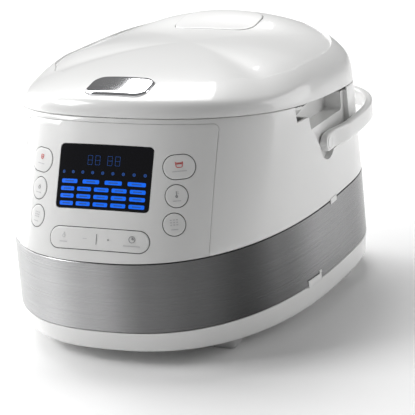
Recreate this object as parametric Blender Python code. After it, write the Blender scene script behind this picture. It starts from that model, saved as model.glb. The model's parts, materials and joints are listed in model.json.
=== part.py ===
# Multicooker style rice cooker: a white moulded body on a brushed steel band, with a hinged lid,
# a carrying handle, a key panel, and the pot, heater and boards inside.
# Metres, +Z up. The front faces -Y. The floor is at z = 0, below the middle of the whole outline.
# Heights in this file are measured from FLOOR_DROP above the floor; the last lines raise it all.
import bpy
import bmesh
from math import acos, asin, atan2, cos, degrees, exp, hypot, pi, radians, sin, sqrt
from mathutils import Matrix, Vector

# ---- driving dimensions -------------------------------------------------------------------
BODY_Y = -0.015          # middle of the body; the handle reaches further back than the body does
SIDES = 64               # points round one outline
WALL = 0.0025            # moulded walls
GAP = 0.0003             # between pieces that touch
SPLIT = 0.0005           # between pieces with a visible joint line

FLOOR_DROP = 0.006       # the soles are this far below the level the heights are measured from
FOOT_TOP = 0.0057
BASE_BOTTOM = 0.006
BAND_BOTTOM = 0.028
BAND_TOP = 0.092
BAND_THICKNESS = 0.0008
WIDEST_Y = 0.049         # where the body is widest, from its middle
HALF_WIDTH = 0.1449
HALF_DEPTH = 0.175
FRONT_ROUNDING = 2.50    # superellipse exponents of the plan
FRONT_TAPER = 20.0       # the front corners get rounder towards the top
TAPER_FROM = 0.120
REAR_ROUNDING = 3.34
FRONT_LEAN = 0.44        # the key panel leans back this much for each metre it rises
SIDE_LEAN = 0.024
REAR_LEAN = 0.05

SEAM_HEIGHT = 0.1915     # joint line between the lid and the body, at the body's middle
SEAM_SLOPE = -0.10
SEAM_CURVE = 0.30
LID_HEIGHT = 0.0435
LID_HEIGHT_SLOPE = 0.040
LID_RIM = 0.0075         # upright lower edge of the lid
LID_HUMP = 0.0200        # rise of the lid towards the rear, round the steam vent
LID_HUMP_Y = 0.162
LID_HUMP_WIDTH = 0.130
LID_HUMP_LENGTH = 0.0468
LID_POWERS = (2.6, 2.2, 3.8, 2.6, 4.6)    # front, front corners, sides, rear corners, rear
LID_ROOTS = (1.7, 1.5, 2.2, 3.2, 2.7)
LID_SHARES = (1.0, 0.99, 0.965, 0.92, 0.85, 0.74, 0.58, 0.36, 0.03)

HINGE_Y = 0.1758
HINGE_Z = 0.1750
HINGE_PIN_R = 0.0020

PANEL_HALF_WIDTH = 0.0944
WINDOW_SIZE = (0.092, 0.0575)
WINDOW_Z = 0.161
KEY_X = 0.0676
KEY_ROWS = (0.1687, 0.1454, 0.1227)
KEY_R = 0.0100
KEY_PROUD = 0.0006
BAR_SIZE = (0.098, 0.0195)
BAR_Z = 0.1112
BOARD_DEPTH = 0.027

BUTTON_SIZE = (0.061, 0.033)
BUTTON_Y = -0.0955
VENT_Y = 0.120
VENT_SIZE = (0.084, 0.048)
VALVE_Y = 0.098
LATCH_Y = -0.1080
LATCH_Z = 0.2110
INLET_X = 0.060
INLET_REAR = 0.1738

POT_Y = 0.020            # pot axis, from the body's middle
POT_R = 0.1080
POT_RIM_R = 0.1160
POT_RIM_Z = 0.1770
POT_BOTTOM = 0.0545
POT_WALL = 0.0015
WELL_R = 0.1105
WELL_FLOOR = 0.030

HANDLE_PIVOT = (0.027, 0.147)   # (y, z)
HANDLE_HEIGHT = 0.0175
HANDLE_THICKNESS = 0.0070
HANDLE_END_X = 0.1390           # inner face at the pivots
HANDLE_ARM_X = 0.1448           # inner face past the bow
HANDLE_REAR = 0.2053            # outer face at the back
HANDLE_PIN_R = 0.0040

RECESS_X = 0.1380        # floor of the shallow recess round the handle's end
GRIP_X = 0.1215          # floor of the deep finger recess under the lid


# ---- materials -----------------------------------------------------------------------------
def finish(name, colour, roughness, metallic=0.0):
    material = bpy.data.materials.new(name)
    material.use_nodes = True
    shader = material.node_tree.nodes["Principled BSDF"]
    shader.inputs["Base Color"].default_value = (*colour, 1.0)
    shader.inputs["Roughness"].default_value = roughness
    shader.inputs["Metallic"].default_value = metallic
    material.diffuse_color = (*colour, 1.0)
    return material


# ---- mesh helpers --------------------------------------------------------------------------
def place_object(name, mesh, material):
    thing = bpy.data.objects.new(name, mesh)
    bpy.context.scene.collection.objects.link(thing)
    mesh.materials.append(material)
    mesh.shade_smooth()
    mesh.set_sharp_from_angle(angle=radians(35))
    return thing


def mesh_from(name, body):
    """Triangles keep the booleans exact where a ring isn't flat."""
    bmesh.ops.recalc_face_normals(body, faces=body.faces)
    bmesh.ops.triangulate(body, faces=body.faces)
    mesh = bpy.data.meshes.new(name)
    body.to_mesh(mesh)
    body.free()
    return mesh


def loft(name, rings, material, capped=True):
    """Skin a list of equal rings. Uncapped, the last ring joins the first, as in a sleeve."""
    body = bmesh.new()
    rows = [[body.verts.new(point) for point in ring] for ring in rings]
    pairs = list(zip(rows, rows[1:]))
    if not capped:
        pairs.append((rows[-1], rows[0]))
    for low, high in pairs:
        for i in range(len(low)):
            j = (i + 1) % len(low)
            body.faces.new((low[i], low[j], high[j], high[i]))
    if capped:
        body.faces.new(rows[0])
        body.faces.new(rows[-1])
    return place_object(name, mesh_from(name, body), material)


def turned(name, profile, material, centre=(0.0, 0.0), sides=40, closed=True):
    """Turn a profile of (radius, z) round a vertical axis. Closed, its ends join as a ring."""
    rings = []
    for radius, z in profile:
        rings.append([(centre[0] + radius * cos(2 * pi * i / sides),
                       centre[1] + radius * sin(2 * pi * i / sides), z) for i in range(sides)])
    return loft(name, rings, material, capped=not closed)


def prism(name, outline, low, high, material, frame=Matrix.Identity(4)):
    """Extrude an outline in the frame's X and Y from low to high along the frame's Z."""
    bottom = [frame @ Vector((x, y, low)) for x, y in outline]
    top = [frame @ Vector((x, y, high)) for x, y in outline]
    return loft(name, [bottom, top], material)


def rounded(width, height, radius, steps=5):
    """Outline of a rectangle with round corners."""
    points = []
    corners = ((1, 1, 0), (-1, 1, 90), (-1, -1, 180), (1, -1, 270))
    for sx, sy, start in corners:
        cx = sx * (width / 2 - radius)
        cy = sy * (height / 2 - radius)
        for k in range(steps + 1):
            angle = radians(start + 90 * k / steps)
            points.append((cx + radius * cos(angle), cy + radius * sin(angle)))
    return points


def circle(radius, sides=32):
    return [(radius * cos(2 * pi * i / sides), radius * sin(2 * pi * i / sides)) for i in range(sides)]


def block(name, low, high, material):
    """A box between two corners."""
    outline = [(low[0], low[1]), (high[0], low[1]), (high[0], high[1]), (low[0], high[1])]
    return prism(name, outline, low[2], high[2], material)


def guide(thing):
    """Mark a cutter, so that it is only a tool for the booleans."""
    thing.hide_render = True
    thing.display_type = "WIRE"
    return thing


def combine(thing, other, operation="DIFFERENCE"):
    step = thing.modifiers.new(operation.title(), "BOOLEAN")
    step.operation = operation
    step.object = other
    step.solver = "EXACT"


def merge_flat(thing):
    """Join the flat triangles that the cuts have left into larger faces."""
    step = thing.modifiers.new("Merge flat", "DECIMATE")
    step.decimate_type = "DISSOLVE"
    step.angle_limit = radians(0.8)


def join(name, things, material):
    """Put separate solids into one object, for a group of like pieces."""
    body = bmesh.new()
    for thing in things:
        body.from_mesh(thing.data)
        bpy.data.objects.remove(thing)
    mesh = bpy.data.meshes.new(name)
    body.to_mesh(mesh)
    body.free()
    return place_object(name, mesh, material)


def set_origin(thing, point):
    """Move an object's origin to a point on its joint's axis, and leave the shape where it is."""
    thing.data.transform(Matrix.Translation(-Vector(point)))
    thing.location = point


def at(x, y, z):
    """A place given from the body's middle, as a world place."""
    return (x, y + BODY_Y, z)


# ---- the body's outer shape ----------------------------------------------------------------
def mix(low, high, share):
    return low + (high - low) * share


def body_size(z):
    """Half width, front, rear and the front corners' exponent at one height."""
    rounding = FRONT_ROUNDING - FRONT_TAPER * max(0.0, z - TAPER_FROM) ** 2
    if z < BAND_BOTTOM:
        share = (z - BASE_BOTTOM) / (BAND_BOTTOM - BASE_BOTTOM)
        return mix(0.1440, 0.1457, share), mix(-0.1667, -0.1755, share), mix(0.1720, 0.1748, share), rounding
    if z < BAND_TOP:
        share = (z - BAND_BOTTOM) / (BAND_TOP - BAND_BOTTOM)
        return mix(0.1457, HALF_WIDTH, share), mix(-0.1755, -HALF_DEPTH, share), HALF_DEPTH, rounding
    rise = z - BAND_TOP
    front = -HALF_DEPTH + FRONT_LEAN * rise
    return HALF_WIDTH - SIDE_LEAN * rise, front, HALF_DEPTH - REAR_LEAN * rise, rounding


def outline_point(angle, size, inset=0.0):
    """A point of the plan outline, from the body's middle."""
    half_width, front, rear, rounding = size
    c, s = cos(angle), sin(angle)
    power = rounding if s < 0 else REAR_ROUNDING
    reach = (WIDEST_Y - front) if s < 0 else (rear - WIDEST_Y)
    x = (half_width - inset) * abs(c) ** (2 / power)
    y = (reach - inset) * abs(s) ** (2 / power)
    return (x if c > 0 else -x), WIDEST_Y + (y if s > 0 else -y)


ANGLES = [2 * pi * (i + 0.5) / SIDES for i in range(SIDES)]


def level_ring(z, inset=0.0):
    size = body_size(z)
    return [at(*outline_point(angle, size, inset), z) for angle in ANGLES]


def seam_height(y):
    return SEAM_HEIGHT + SEAM_SLOPE * y + SEAM_CURVE * min(y, 0.0) ** 2


def seam_point(angle, inset=0.0, lift=0.0):
    z = SEAM_HEIGHT
    for _ in range(4):
        x, y = outline_point(angle, body_size(z), inset)
        z = seam_height(y) + lift
    return x, y, z


def rising_ring(share, inset=0.0, lift=0.0):
    """A ring between the top of the band (share 0) and the lid's joint line (share 1)."""
    ring = []
    for angle in ANGLES:
        top = seam_point(angle, inset, lift)[2]
        z = mix(BAND_TOP + GAP, top, share)
        x, y = outline_point(angle, body_size(z), inset)
        ring.append(at(x, y, z))
    return ring


def panel_y(x, z):
    """The front surface's y at a place on the key panel."""
    half_width, front, _, rounding = body_size(z)
    part = 1 - (abs(x) / half_width) ** rounding
    return WIDEST_Y - (WIDEST_Y - front) * part ** (1 / rounding)


def panel_frame(x, z):
    """A frame on the key panel: X across, Y up the slope, Z straight out of the surface."""
    step = 0.0005
    here = Vector((x, panel_y(x, z), z))
    across = Vector((2 * step, panel_y(x + step, z) - panel_y(x - step, z), 0)).normalized()
    rise = Vector((0, panel_y(x, z + step) - panel_y(x, z - step), 2 * step)).normalized()
    out = across.cross(rise).normalized()
    rise = out.cross(across)
    frame = Matrix((across, rise, out)).transposed().to_4x4()
    frame.translation = Vector(at(*here))
    return frame


# ---- the lid's outer shape -----------------------------------------------------------------
def blend_by_angle(angle, values):
    """Values at the front, front corners, sides, rear corners and rear, blended between."""
    stops = (-90, -40, 0, 40, 90)
    for k in range(4):
        if angle <= stops[k + 1]:
            share = (angle - stops[k]) / (stops[k + 1] - stops[k])
            return mix(values[k], values[k + 1], share * share * (3 - 2 * share))
    return values[-1]


def lid_point(angle, share, sink=0.0, inset=0.0):
    """A point of the lid's skin: share 1 is its lower edge and share 0 its middle."""
    x_edge, y_edge, z_edge = seam_point(angle, inset, SPLIT)
    turn = degrees(asin((y_edge - WIDEST_Y) / hypot(x_edge, y_edge - WIDEST_Y)))
    power = blend_by_angle(turn, LID_POWERS)
    root = blend_by_angle(turn, LID_ROOTS)
    x = x_edge * share
    y = WIDEST_Y + (y_edge - WIDEST_Y) * share
    crown = (1 - share ** power) ** (1 / root)
    spread = (x / LID_HUMP_WIDTH) ** 2 + ((y - LID_HUMP_Y) / LID_HUMP_LENGTH) ** 2
    hump = LID_HUMP * exp(-spread) * min(1, 9 * (1 - share))
    rim = LID_RIM * sqrt(max(0.0, 1 - (max(0.0, share - 0.965) / 0.035) ** 2))
    z = seam_height(y) + SPLIT + rim + (LID_HEIGHT - LID_RIM - sink + LID_HEIGHT_SLOPE * y) * crown + hump
    return x, y, z


def lid_ring(share, sink=0.0, inset=0.0):
    return [at(*lid_point(angle, share, sink, inset)) for angle in ANGLES]


def lid_top(y):
    """Height of the lid's skin on its centre line, in front of the widest place."""
    front = seam_point(-pi / 2, 0.0, SPLIT)[1]
    return lid_point(-pi / 2, (WIDEST_Y - y) / (WIDEST_Y - front))[2]


# ---- shapes that several pieces share ------------------------------------------------------
def side_prism(name, outline, low_x, high_x):
    """Extrude an outline given in the body's (y, z) from low_x to high_x."""
    rings = [[at(x, y, z) for y, z in outline] for x in (low_x, high_x)]
    return guide(loft(name, rings, cutter_paint))


def recess_outline(grow=0.0):
    """The shallow recess that holds the handle's end, open upwards to the lid."""
    y0, z0 = HANDLE_PIVOT
    radius, floor = 0.0160 + grow, 0.0102 + grow
    start = degrees(acos(floor / radius))
    arc = []
    for k in range(11):
        turn = radians(mix(-start, 90, k / 10))
        arc.append((y0 - radius * sin(turn), z0 - radius * cos(turn)))
    top = 0.225
    rest = [(-0.004 - grow, 0.172), (-0.010 - grow, top), (0.085 + grow, top)]
    return [(0.085 + grow, z0 - floor)] + arc + rest


def grip_outline(grow=0.0):
    """The deep finger recess under the lid's edge."""
    return [(-0.003 - grow, 0.1660 - grow), (0.078 + grow, 0.1630 - grow), (0.078 + grow, 0.225),
            (-0.009 - grow, 0.225)]


def recess_cutters(tag, wall=0.0):
    """Cutters for both sides; a wall makes the larger ones that keep the cavity clear of them."""
    cutters = []
    shapes = (("recess", recess_outline(wall), RECESS_X), ("grip", grip_outline(wall), GRIP_X))
    for word, outline, floor in shapes:
        pair = [side_prism(f"{tag}_{word}_{side}", outline, side * (floor - wall), side * 0.17)
                for side in (1, -1)]
        cutters.append(guide(join(f"{tag}_{word}", pair, cutter_paint)))
    return cutters


def panel_outline(inset):
    """The key panel seen from the front (x, z): straight sides, a top that follows the joint line."""
    half = PANEL_HALF_WIDTH - inset
    radius = 0.005
    points = [(-half, BAND_TOP - 0.01), (half, BAND_TOP - 0.01)]
    corner = [half - radius * (1 - sin(pi / 2 * k / 5)) for k in range(6)][::-1]
    middle = [(half - radius) * (1 - 2 * k / 12) for k in range(1, 12)]
    for x in corner + middle + [-x for x in corner[::-1]]:
        past = max(0.0, abs(x) - half + radius)
        drop = radius - (radius ** 2 - past ** 2) ** 0.5
        points.append((x, seam_height(panel_y(x, 0.2)) - 0.0042 - inset - drop))
    return points


def front_prism(name, outline, front_y=-0.25, back_y=-0.075):
    """Extrude a front view outline (x, z) through the front wall."""
    rings = [[at(x, y, z) for x, z in outline] for y in (back_y, front_y)]
    return guide(loft(name, rings, cutter_paint))


def front_shell(name, material, out, thickness):
    """The front wall's own surface, lifted by out and given a thickness, as a closed sleeve."""
    levels = (BAND_TOP, 0.125, 0.150, 0.170, 0.187, 0.202, 0.215)
    rings = [level_ring(z, -out) for z in levels]
    rings += [level_ring(z, thickness - out) for z in reversed(levels)]
    return loft(name, rings, material, capped=False)


def lid_hole(name, outline, frame, low, high):
    return guide(prism(name, outline, low, high, cutter_paint, frame))


def button_frame():
    slope = (lid_top(BUTTON_Y + 0.010) - lid_top(BUTTON_Y - 0.010)) / 0.020
    frame = Matrix.Rotation(atan2(slope, 1.0), 4, "X")
    frame.translation = Vector(at(0, BUTTON_Y, lid_top(BUTTON_Y)))
    return frame


def vent_frame():
    return Matrix.Translation(at(0, VENT_Y, 0))


def valve_frame():
    return Matrix.Translation(at(0, VALVE_Y, 0))


def coil(name, radius, wire, start, end, turns, material, axis="Z", centre=(0, 0, 0), steps=10, sides=4):
    """A helical spring as one closed tube along an axis."""
    body_rings = []
    total = turns * steps
    for k in range(total + 1):
        a = 2 * pi * k / steps
        along = mix(start, end, k / total)
        ring = []
        for j in range(sides):
            b = 2 * pi * j / sides
            r = radius + wire * cos(b)
            h = along + wire * sin(b)
            point = (r * cos(a), r * sin(a), h) if axis == "Z" else (h, r * cos(a), r * sin(a))
            ring.append(tuple(p + c for p, c in zip(point, centre)))
        body_rings.append(ring)
    return loft(name, body_rings, material)


# ---- body pieces ---------------------------------------------------------------------------
def make_base_tray():
    outer = [level_ring(BASE_BOTTOM, 0.004), level_ring(BASE_BOTTOM + 0.0012, 0.0012), level_ring(0.0090)]
    outer += [level_ring(BAND_BOTTOM - GAP)]
    inner = [level_ring(BAND_BOTTOM - GAP, WALL), level_ring(BASE_BOTTOM + WALL, WALL + 0.003)]
    tray = loft("base_tray", outer + inner, white)
    slots = []
    for k in range(9):
        x = -0.064 + 0.016 * k
        slots.append(block(f"slot_{k}", at(x - 0.002, 0.075, 0.0), at(x + 0.002, 0.135, 0.02), cutter_paint))
    combine(tray, guide(join("vent_slots", slots, cutter_paint)))
    merge_flat(tray)


def make_feet():
    spots = {"front_right_foot": (0.086, -0.102), "front_left_foot": (-0.086, -0.102),
             "rear_right_foot": (0.120, 0.086), "rear_left_foot": (-0.120, 0.086)}
    for name, (x, y) in spots.items():
        frame = Matrix.Translation(at(x, y, 0))
        prism(name, rounded(0.022, 0.020, 0.004, 3), -FLOOR_DROP, FOOT_TOP, foot_grey, frame)


def make_base_screws():
    spots = ((0.06, -0.140), (-0.06, -0.140), (0.07, 0.152), (-0.07, 0.152))
    for number, (x, y) in enumerate(spots, 1):
        place = Matrix.Translation(at(x, y, 0))
        prism(f"base_screw_{number}", circle(0.0038, 12), 0.0030, 0.0057, steel, place)


def make_steel_band():
    low, high = BAND_BOTTOM + GAP, BAND_TOP - GAP
    rings = [level_ring(low), level_ring(high)]
    rings += [level_ring(high, BAND_THICKNESS), level_ring(low, BAND_THICKNESS)]
    band = loft("steel_band", rings, brushed, capped=False)
    cut = block("inlet_cut", at(INLET_X - 0.0175, 0.15, 0.0385), at(INLET_X + 0.0175, 0.19, 0.0715), cutter_paint)
    combine(band, guide(cut))
    merge_flat(band)


def make_upper_housing():
    shares = (0.3, 0.5, 0.68, 0.85)
    skin = [rising_ring(share) for share in (0.0, *shares, 1.0)]
    inside = [rising_ring(share, WALL, 0.004) for share in (*shares, 1.0)]
    housing = loft("upper_housing", skin, white)
    cavity = loft("housing_cavity", [rising_ring(-0.02, WALL)] + inside, cutter_paint)
    for cutter in recess_cutters("cavity_keep", WALL):
        combine(cavity, cutter)
    for cutter in recess_cutters("housing"):
        combine(housing, cutter)
    combine(housing, guide(cavity))
    combine(housing, front_prism("panel_opening", panel_outline(0.0)))
    for side in (1, -1):
        low, high = sorted((side * 0.1100, side * 0.1408))
        shelf = block(f"lid_clearance_{side}", at(low, -0.024, 0.1800), at(high, 0.094, 0.24), cutter_paint)
        combine(housing, guide(shelf))
        round_hole = circle(HANDLE_PIN_R + GAP, 20)
        hole = prism(f"pin_hole_{side}", round_hole, 0.120, 0.160, cutter_paint, pivot_frame(side))
        combine(housing, guide(hole))
    merge_flat(housing)


def pivot_frame(side):
    """Z runs out of the side of the body, along the handle's pivot."""
    frame = Matrix.Rotation(side * pi / 2, 4, "Y")
    frame.translation = Vector(at(0, *HANDLE_PIVOT))
    return frame


def make_top_collar():
    """The sloping shelf between the housing's rim and the mouth of the well."""
    inset = WALL + SPLIT

    def shelf(drop):
        edge = [at(*seam_point(a, inset, -drop)) for a in ANGLES]
        return edge

    def mouth(radius, z):
        ring = []
        for a in ANGLES:
            x, y, _ = seam_point(a)
            turn = atan2(y - POT_Y, x)
            px, py, _ = at(radius * cos(turn), POT_Y + radius * sin(turn), 0)
            ring.append((px, py, z))
        return ring

    top, low = 0.0012, 0.0036
    rings = [shelf(top), mouth(0.1215, 0.1735), mouth(0.1175, 0.1728), mouth(0.1135, 0.1728)]
    rings += [mouth(0.1135, 0.1706), mouth(0.1215, 0.1706), shelf(low)]
    collar = loft("top_collar", rings, white, capped=False)
    for cutter in recess_cutters("collar", WALL + SPLIT):
        combine(collar, cutter)
    pocket = block("catch_pocket", at(-0.016, -0.1185, 0.15), at(0.016, -0.1000, 0.24), cutter_paint)
    combine(collar, guide(pocket))
    merge_flat(collar)


def make_well_group():
    centre = at(0, POT_Y, 0)[:2]
    profile = [(0.0235, WELL_FLOOR), (WELL_R + 0.001, WELL_FLOOR), (WELL_R + 0.001, 0.1692), (0.1170, 0.1692),
               (0.1170, 0.1702), (WELL_R, 0.1702), (WELL_R, WELL_FLOOR + 0.001), (0.0235, WELL_FLOOR + 0.001)]
    turned("pot_well", profile, steel, centre)
    wrap = [(0.1120, 0.100), (0.1134, 0.100), (0.1134, 0.130), (0.1120, 0.130)]
    turned("side_heater_band", wrap, fabric_band, centre)
    plate = [(0.0185, 0.0400), (0.0780, 0.0400), (0.0850, 0.0440), (0.0850, 0.0505), (0.0600, 0.0538),
             (0.0185, 0.0538)]
    turned("heater_plate", plate, cast, centre)
    ring = [(0.0640 + 0.0033 * cos(a), 0.0363 + 0.0033 * sin(a)) for a in [pi * k / 3 for k in range(6)]]
    turned("heater_element", ring, steel, centre, sides=28)
    turned("thermostat_sleeve", [(0.0100, 0.0310), (0.0165, 0.0310), (0.0165, 0.0330), (0.0120, 0.0330),
                                 (0.0120, 0.0370), (0.0100, 0.0370)], steel, centre, sides=24)
    cap = turned("thermostat_cap", [(0.0001, 0.0541), (0.0155, 0.0541), (0.0168, 0.0530), (0.0168, 0.0508),
                                    (0.0085, 0.0508), (0.0085, 0.0345), (0.0001, 0.0345)],
                 steel, centre, sides=24, closed=False)
    set_origin(cap, at(0, POT_Y, 0.0508))
    coil("thermostat_spring", 0.0107, 0.0006, 0.0380, 0.0500, 4, steel, centre=(*centre, 0))
    turned("thermal_fuse", [(0.0001, 0.0215), (0.0035, 0.0215), (0.0035, 0.0295), (0.0001, 0.0295)], steel,
           at(0.045, POT_Y, 0)[:2], sides=12, closed=False)


def make_inner_pot():
    r, w, low, rim = POT_R, POT_WALL, POT_BOTTOM, POT_RIM_Z
    corner = 0.020
    bend = [radians(a) for a in (0, 30, 60, 90)]
    outer = [(0.0001, low)] + [(r - corner + corner * sin(a), low + corner - corner * cos(a)) for a in bend]
    inner = [(0.0001, low + w)] + [(r - corner + (corner - w) * sin(a), low + corner - (corner - w) * cos(a))
                                   for a in bend]
    lip = [(r, rim - 0.0035), (POT_RIM_R, rim - 0.0035), (POT_RIM_R, rim - 0.0018), (r - w + 0.001, rim)]
    turned("inner_pot", outer + lip + inner[::-1], pot_coat, at(0, POT_Y, 0)[:2], sides=40, closed=False)


def make_boards():
    """The key board carries the display's driver and one switch under each key."""
    frame = panel_frame(0, 0.145)
    sheet = rounded(0.130, 0.078, 0.003, 2)
    board = prism("control_board", sheet, -BOARD_DEPTH - 0.0016, -BOARD_DEPTH, board_green, frame)
    spots = [panel_frame(side * KEY_X, z) @ Vector((0, 0, -0.0115)) for side in (1, -1) for z in KEY_ROWS]
    spots += [bar_frame() @ Vector((x, 0, 0)) for x in (-0.03, 0.03)]
    for number, place in enumerate(spots):
        spot = frame.inverted() @ place
        x = min(max(spot.x, -0.0600), 0.0600)
        outline = [(x + px, spot.y + py) for px, py in rounded(0.006, 0.006, 0.0005, 1)]
        low, high = -BOARD_DEPTH - 0.001, -BOARD_DEPTH + 0.0035
        switch = prism(f"key_switch_{number}", outline, low, high, black, frame)
        combine(board, guide(switch), "UNION")
    prism("display_module", rounded(0.086, 0.054, 0.002, 2), -0.0235, -0.0125, black, window_frame())
    power = block("power_board", at(-0.055, -0.148, 0.0140), at(0.055, -0.096, 0.0156), board_green)
    tall = [block("relay", at(-0.045, -0.142, 0.0150), at(-0.025, -0.127, 0.0320), black),
            block("transformer", at(-0.010, -0.144, 0.0150), at(0.020, -0.116, 0.0400), black),
            prism("capacitor", circle(0.006, 12), 0.0150, 0.0380, black, Matrix.Translation(at(0.038, -0.130, 0)))]
    for thing in tall:
        combine(power, guide(thing), "UNION")


def make_inlet():
    x, z, rear = INLET_X, 0.055, INLET_REAR
    shell = block("power_inlet", at(x - 0.0170, rear - 0.024, z - 0.0160),
                  at(x + 0.0170, rear - 0.0007, z + 0.0160), black)
    cavity = block("inlet_socket", at(x - 0.0122, rear - 0.0180, z - 0.0078), at(x + 0.0122, rear + 0.01, z + 0.0078),
                   cutter_paint)
    combine(shell, guide(cavity))
    contacts = block("inlet_contacts", at(x - 0.0100, rear - 0.0177, z - 0.0060),
                     at(x + 0.0100, rear - 0.0157, z + 0.0060), steel)
    for k, (dx, dz) in enumerate(((-0.007, 0.002), (0.007, 0.002), (0.0, -0.002))):
        blade = block(f"blade_{k}", at(x + dx - 0.001, rear - 0.0165, z + dz - 0.002),
                      at(x + dx + 0.001, rear - 0.0040, z + dz + 0.002), steel)
        combine(contacts, guide(blade), "UNION")


# ---- key panel -----------------------------------------------------------------------------
def bar_frame():
    return panel_frame(0, BAR_Z)


def window_frame():
    return panel_frame(0, WINDOW_Z)


def key_size(side, row):
    """The upper keys are wider than they are tall; the others are round."""
    return (0.0285, 0.0215) if row == 0 else (2 * KEY_R, 2 * KEY_R)


def pill(width, height, grow=0.0, steps=5):
    return rounded(width + 2 * grow, height + 2 * grow, height / 2 + grow - 0.00001, steps)


def make_fascia():
    fascia = front_shell("control_fascia", white, 0.0, WALL)
    combine(fascia, front_prism("panel_keep", panel_outline(0.0004)), "INTERSECT")
    combine(fascia, guide(block("fascia_foot", (-0.2, -0.3, 0.0), (0.2, 0.3, BAND_TOP + GAP), cutter_paint)))
    window = rounded(*WINDOW_SIZE, 0.004)
    combine(fascia, guide(prism("window_hole", window, -0.03, 0.03, cutter_paint, window_frame())))
    for side, word in ((-1, "left"), (1, "right")):
        for row, z in enumerate(KEY_ROWS):
            hole = pill(*key_size(side, row), 0.0004)
            combine(fascia, guide(prism(f"hole_{word}_{row}", hole, -0.010, 0.012, cutter_paint,
                                        panel_frame(side * KEY_X, z))))
    bar_hole = pill(*BAR_SIZE, 0.0004)
    combine(fascia, guide(prism("hole_bar", bar_hole, -0.022, 0.02, cutter_paint, bar_frame())))
    merge_flat(fascia)


def make_window():
    glass = front_shell("display_window", black, -0.0002, 0.0018)
    outline = rounded(WINDOW_SIZE[0] - 0.0006, WINDOW_SIZE[1] - 0.0006, 0.0038)
    combine(glass, guide(prism("window_keep", outline, -0.03, 0.03, cutter_paint, window_frame())), "INTERSECT")
    merge_flat(glass)


def make_keys():
    names = {(-1, 0): "left_upper_key", (-1, 1): "left_middle_key", (-1, 2): "left_lower_key",
             (1, 0): "right_upper_key", (1, 1): "right_middle_key", (1, 2): "right_lower_key"}
    for (side, row), name in names.items():
        frame = panel_frame(side * KEY_X, KEY_ROWS[row])
        width, height = key_size(side, row)
        cap = pill(width, height)
        small = pill(width - 0.0012, height - 0.0012)
        rings = [[frame @ Vector((x, y, -0.0030)) for x, y in cap],
                 [frame @ Vector((x, y, KEY_PROUD - 0.0005)) for x, y in cap],
                 [frame @ Vector((x, y, KEY_PROUD)) for x, y in small]]
        key = loft(name, rings, white)
        stem = prism(f"{name}_stem", circle(0.003, 12), -0.0070, -0.0025, white, frame)
        combine(key, guide(stem), "UNION")
    bar = front_shell("timer_bar_key", white, KEY_PROUD, 0.0035)
    combine(bar, guide(prism("bar_keep", pill(*BAR_SIZE), -0.022, 0.02, cutter_paint, bar_frame())), "INTERSECT")
    for x in (-0.03, 0.03):
        back = BOARD_DEPTH - 0.0095
        outline = [(x + px, py) for px, py in circle(0.003, 12)]
        combine(bar, guide(prism(f"bar_stem_{x}", outline, -back, -0.0045, white, bar_frame())), "UNION")
    merge_flat(bar)


# ---- lid pieces ----------------------------------------------------------------------------
def make_lid_shell():
    outer = [lid_ring(s) for s in LID_SHARES]
    inner = [lid_ring(s, sink=WALL, inset=WALL) for s in LID_SHARES]
    inner = [[(x, y, z - (0.0 if k == 0 else 0.0015)) for x, y, z in ring] for k, ring in enumerate(inner)]
    shell = loft("lid_shell", outer[::-1] + inner, white)
    combine(shell, lid_hole("button_hole", rounded(BUTTON_SIZE[0] + 0.001, BUTTON_SIZE[1] + 0.001, 0.0085),
                            button_frame(), -0.02, 0.03))
    combine(shell, lid_hole("vent_hole", rounded(VENT_SIZE[0] + 0.001, VENT_SIZE[1] + 0.001, 0.018), vent_frame(),
                            0.205, 0.27))
    merge_flat(shell)


def make_lid_liner():
    """The closed underside of the lid: a dish between the shell's edge and the flat over the pot."""
    def edge(inset, lift):
        return [at(*seam_point(a, inset, lift)) for a in ANGLES]

    def flat(radius, z):
        ring = []
        for a in ANGLES:
            x, y, _ = seam_point(a)
            turn = atan2(y - POT_Y, x)
            px, py, _ = at(radius * cos(turn), POT_Y + radius * sin(turn), 0)
            ring.append((px, py, z))
        return ring

    rim = WALL + 0.0010
    rings = [flat(0.010, 0.1845), flat(0.1190, 0.1845), edge(0.0140, 0.0032), edge(rim, 0.0002),
             edge(rim, -0.0006), edge(0.0140, 0.0012), flat(0.1190, 0.1823), flat(0.010, 0.1823)]
    liner = loft("lid_liner", rings, white)
    combine(liner, guide(block("latch_slot", at(-0.0165, -0.1250, 0.15), at(0.0165, -0.0950, 0.24), cutter_paint)))
    combine(liner, guide(prism("steam_bore", circle(0.0125, 24), 0.15, 0.23, cutter_paint, valve_frame())))
    merge_flat(liner)


def make_inner_lid():
    centre = at(0, POT_Y, 0)[:2]
    plate = turned("inner_lid_plate", [(0.0001, 0.1800), (0.1050, 0.1800), (0.1075, 0.1785), (0.1075, 0.1775),
                                       (0.1040, 0.1788), (0.0001, 0.1788)], aluminium, centre, closed=False)
    combine(plate, guide(prism("plate_bore", circle(0.0128, 24), 0.15, 0.23, cutter_paint, valve_frame())))
    turned("pot_seal", [(0.1078, 0.1773), (0.1130, 0.1773), (0.1145, 0.1785), (0.1145, 0.1812), (0.1078, 0.1812)],
           silicone, centre)


def make_vent():
    low = 0.2215
    cap = loft("vent_cap", [lid_ring(s, sink=-0.0016) for s in LID_SHARES[::-1]] +
               [lid_ring(s, sink=0.0020, inset=0.0010) for s in LID_SHARES], white)
    outline = rounded(VENT_SIZE[0], VENT_SIZE[1], 0.0175)
    combine(cap, guide(prism("vent_keep", outline, low, 0.27, cutter_paint, vent_frame())), "INTERSECT")
    valve = [(0.0080, 0.1795), (0.0118, 0.1795), (0.0118, 0.1856), (0.0175, 0.1856), (0.0175, 0.2170),
             (0.0080, 0.2170)]
    turned("steam_valve", valve, white, at(0, VALVE_Y, 0)[:2], sides=24)


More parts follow.
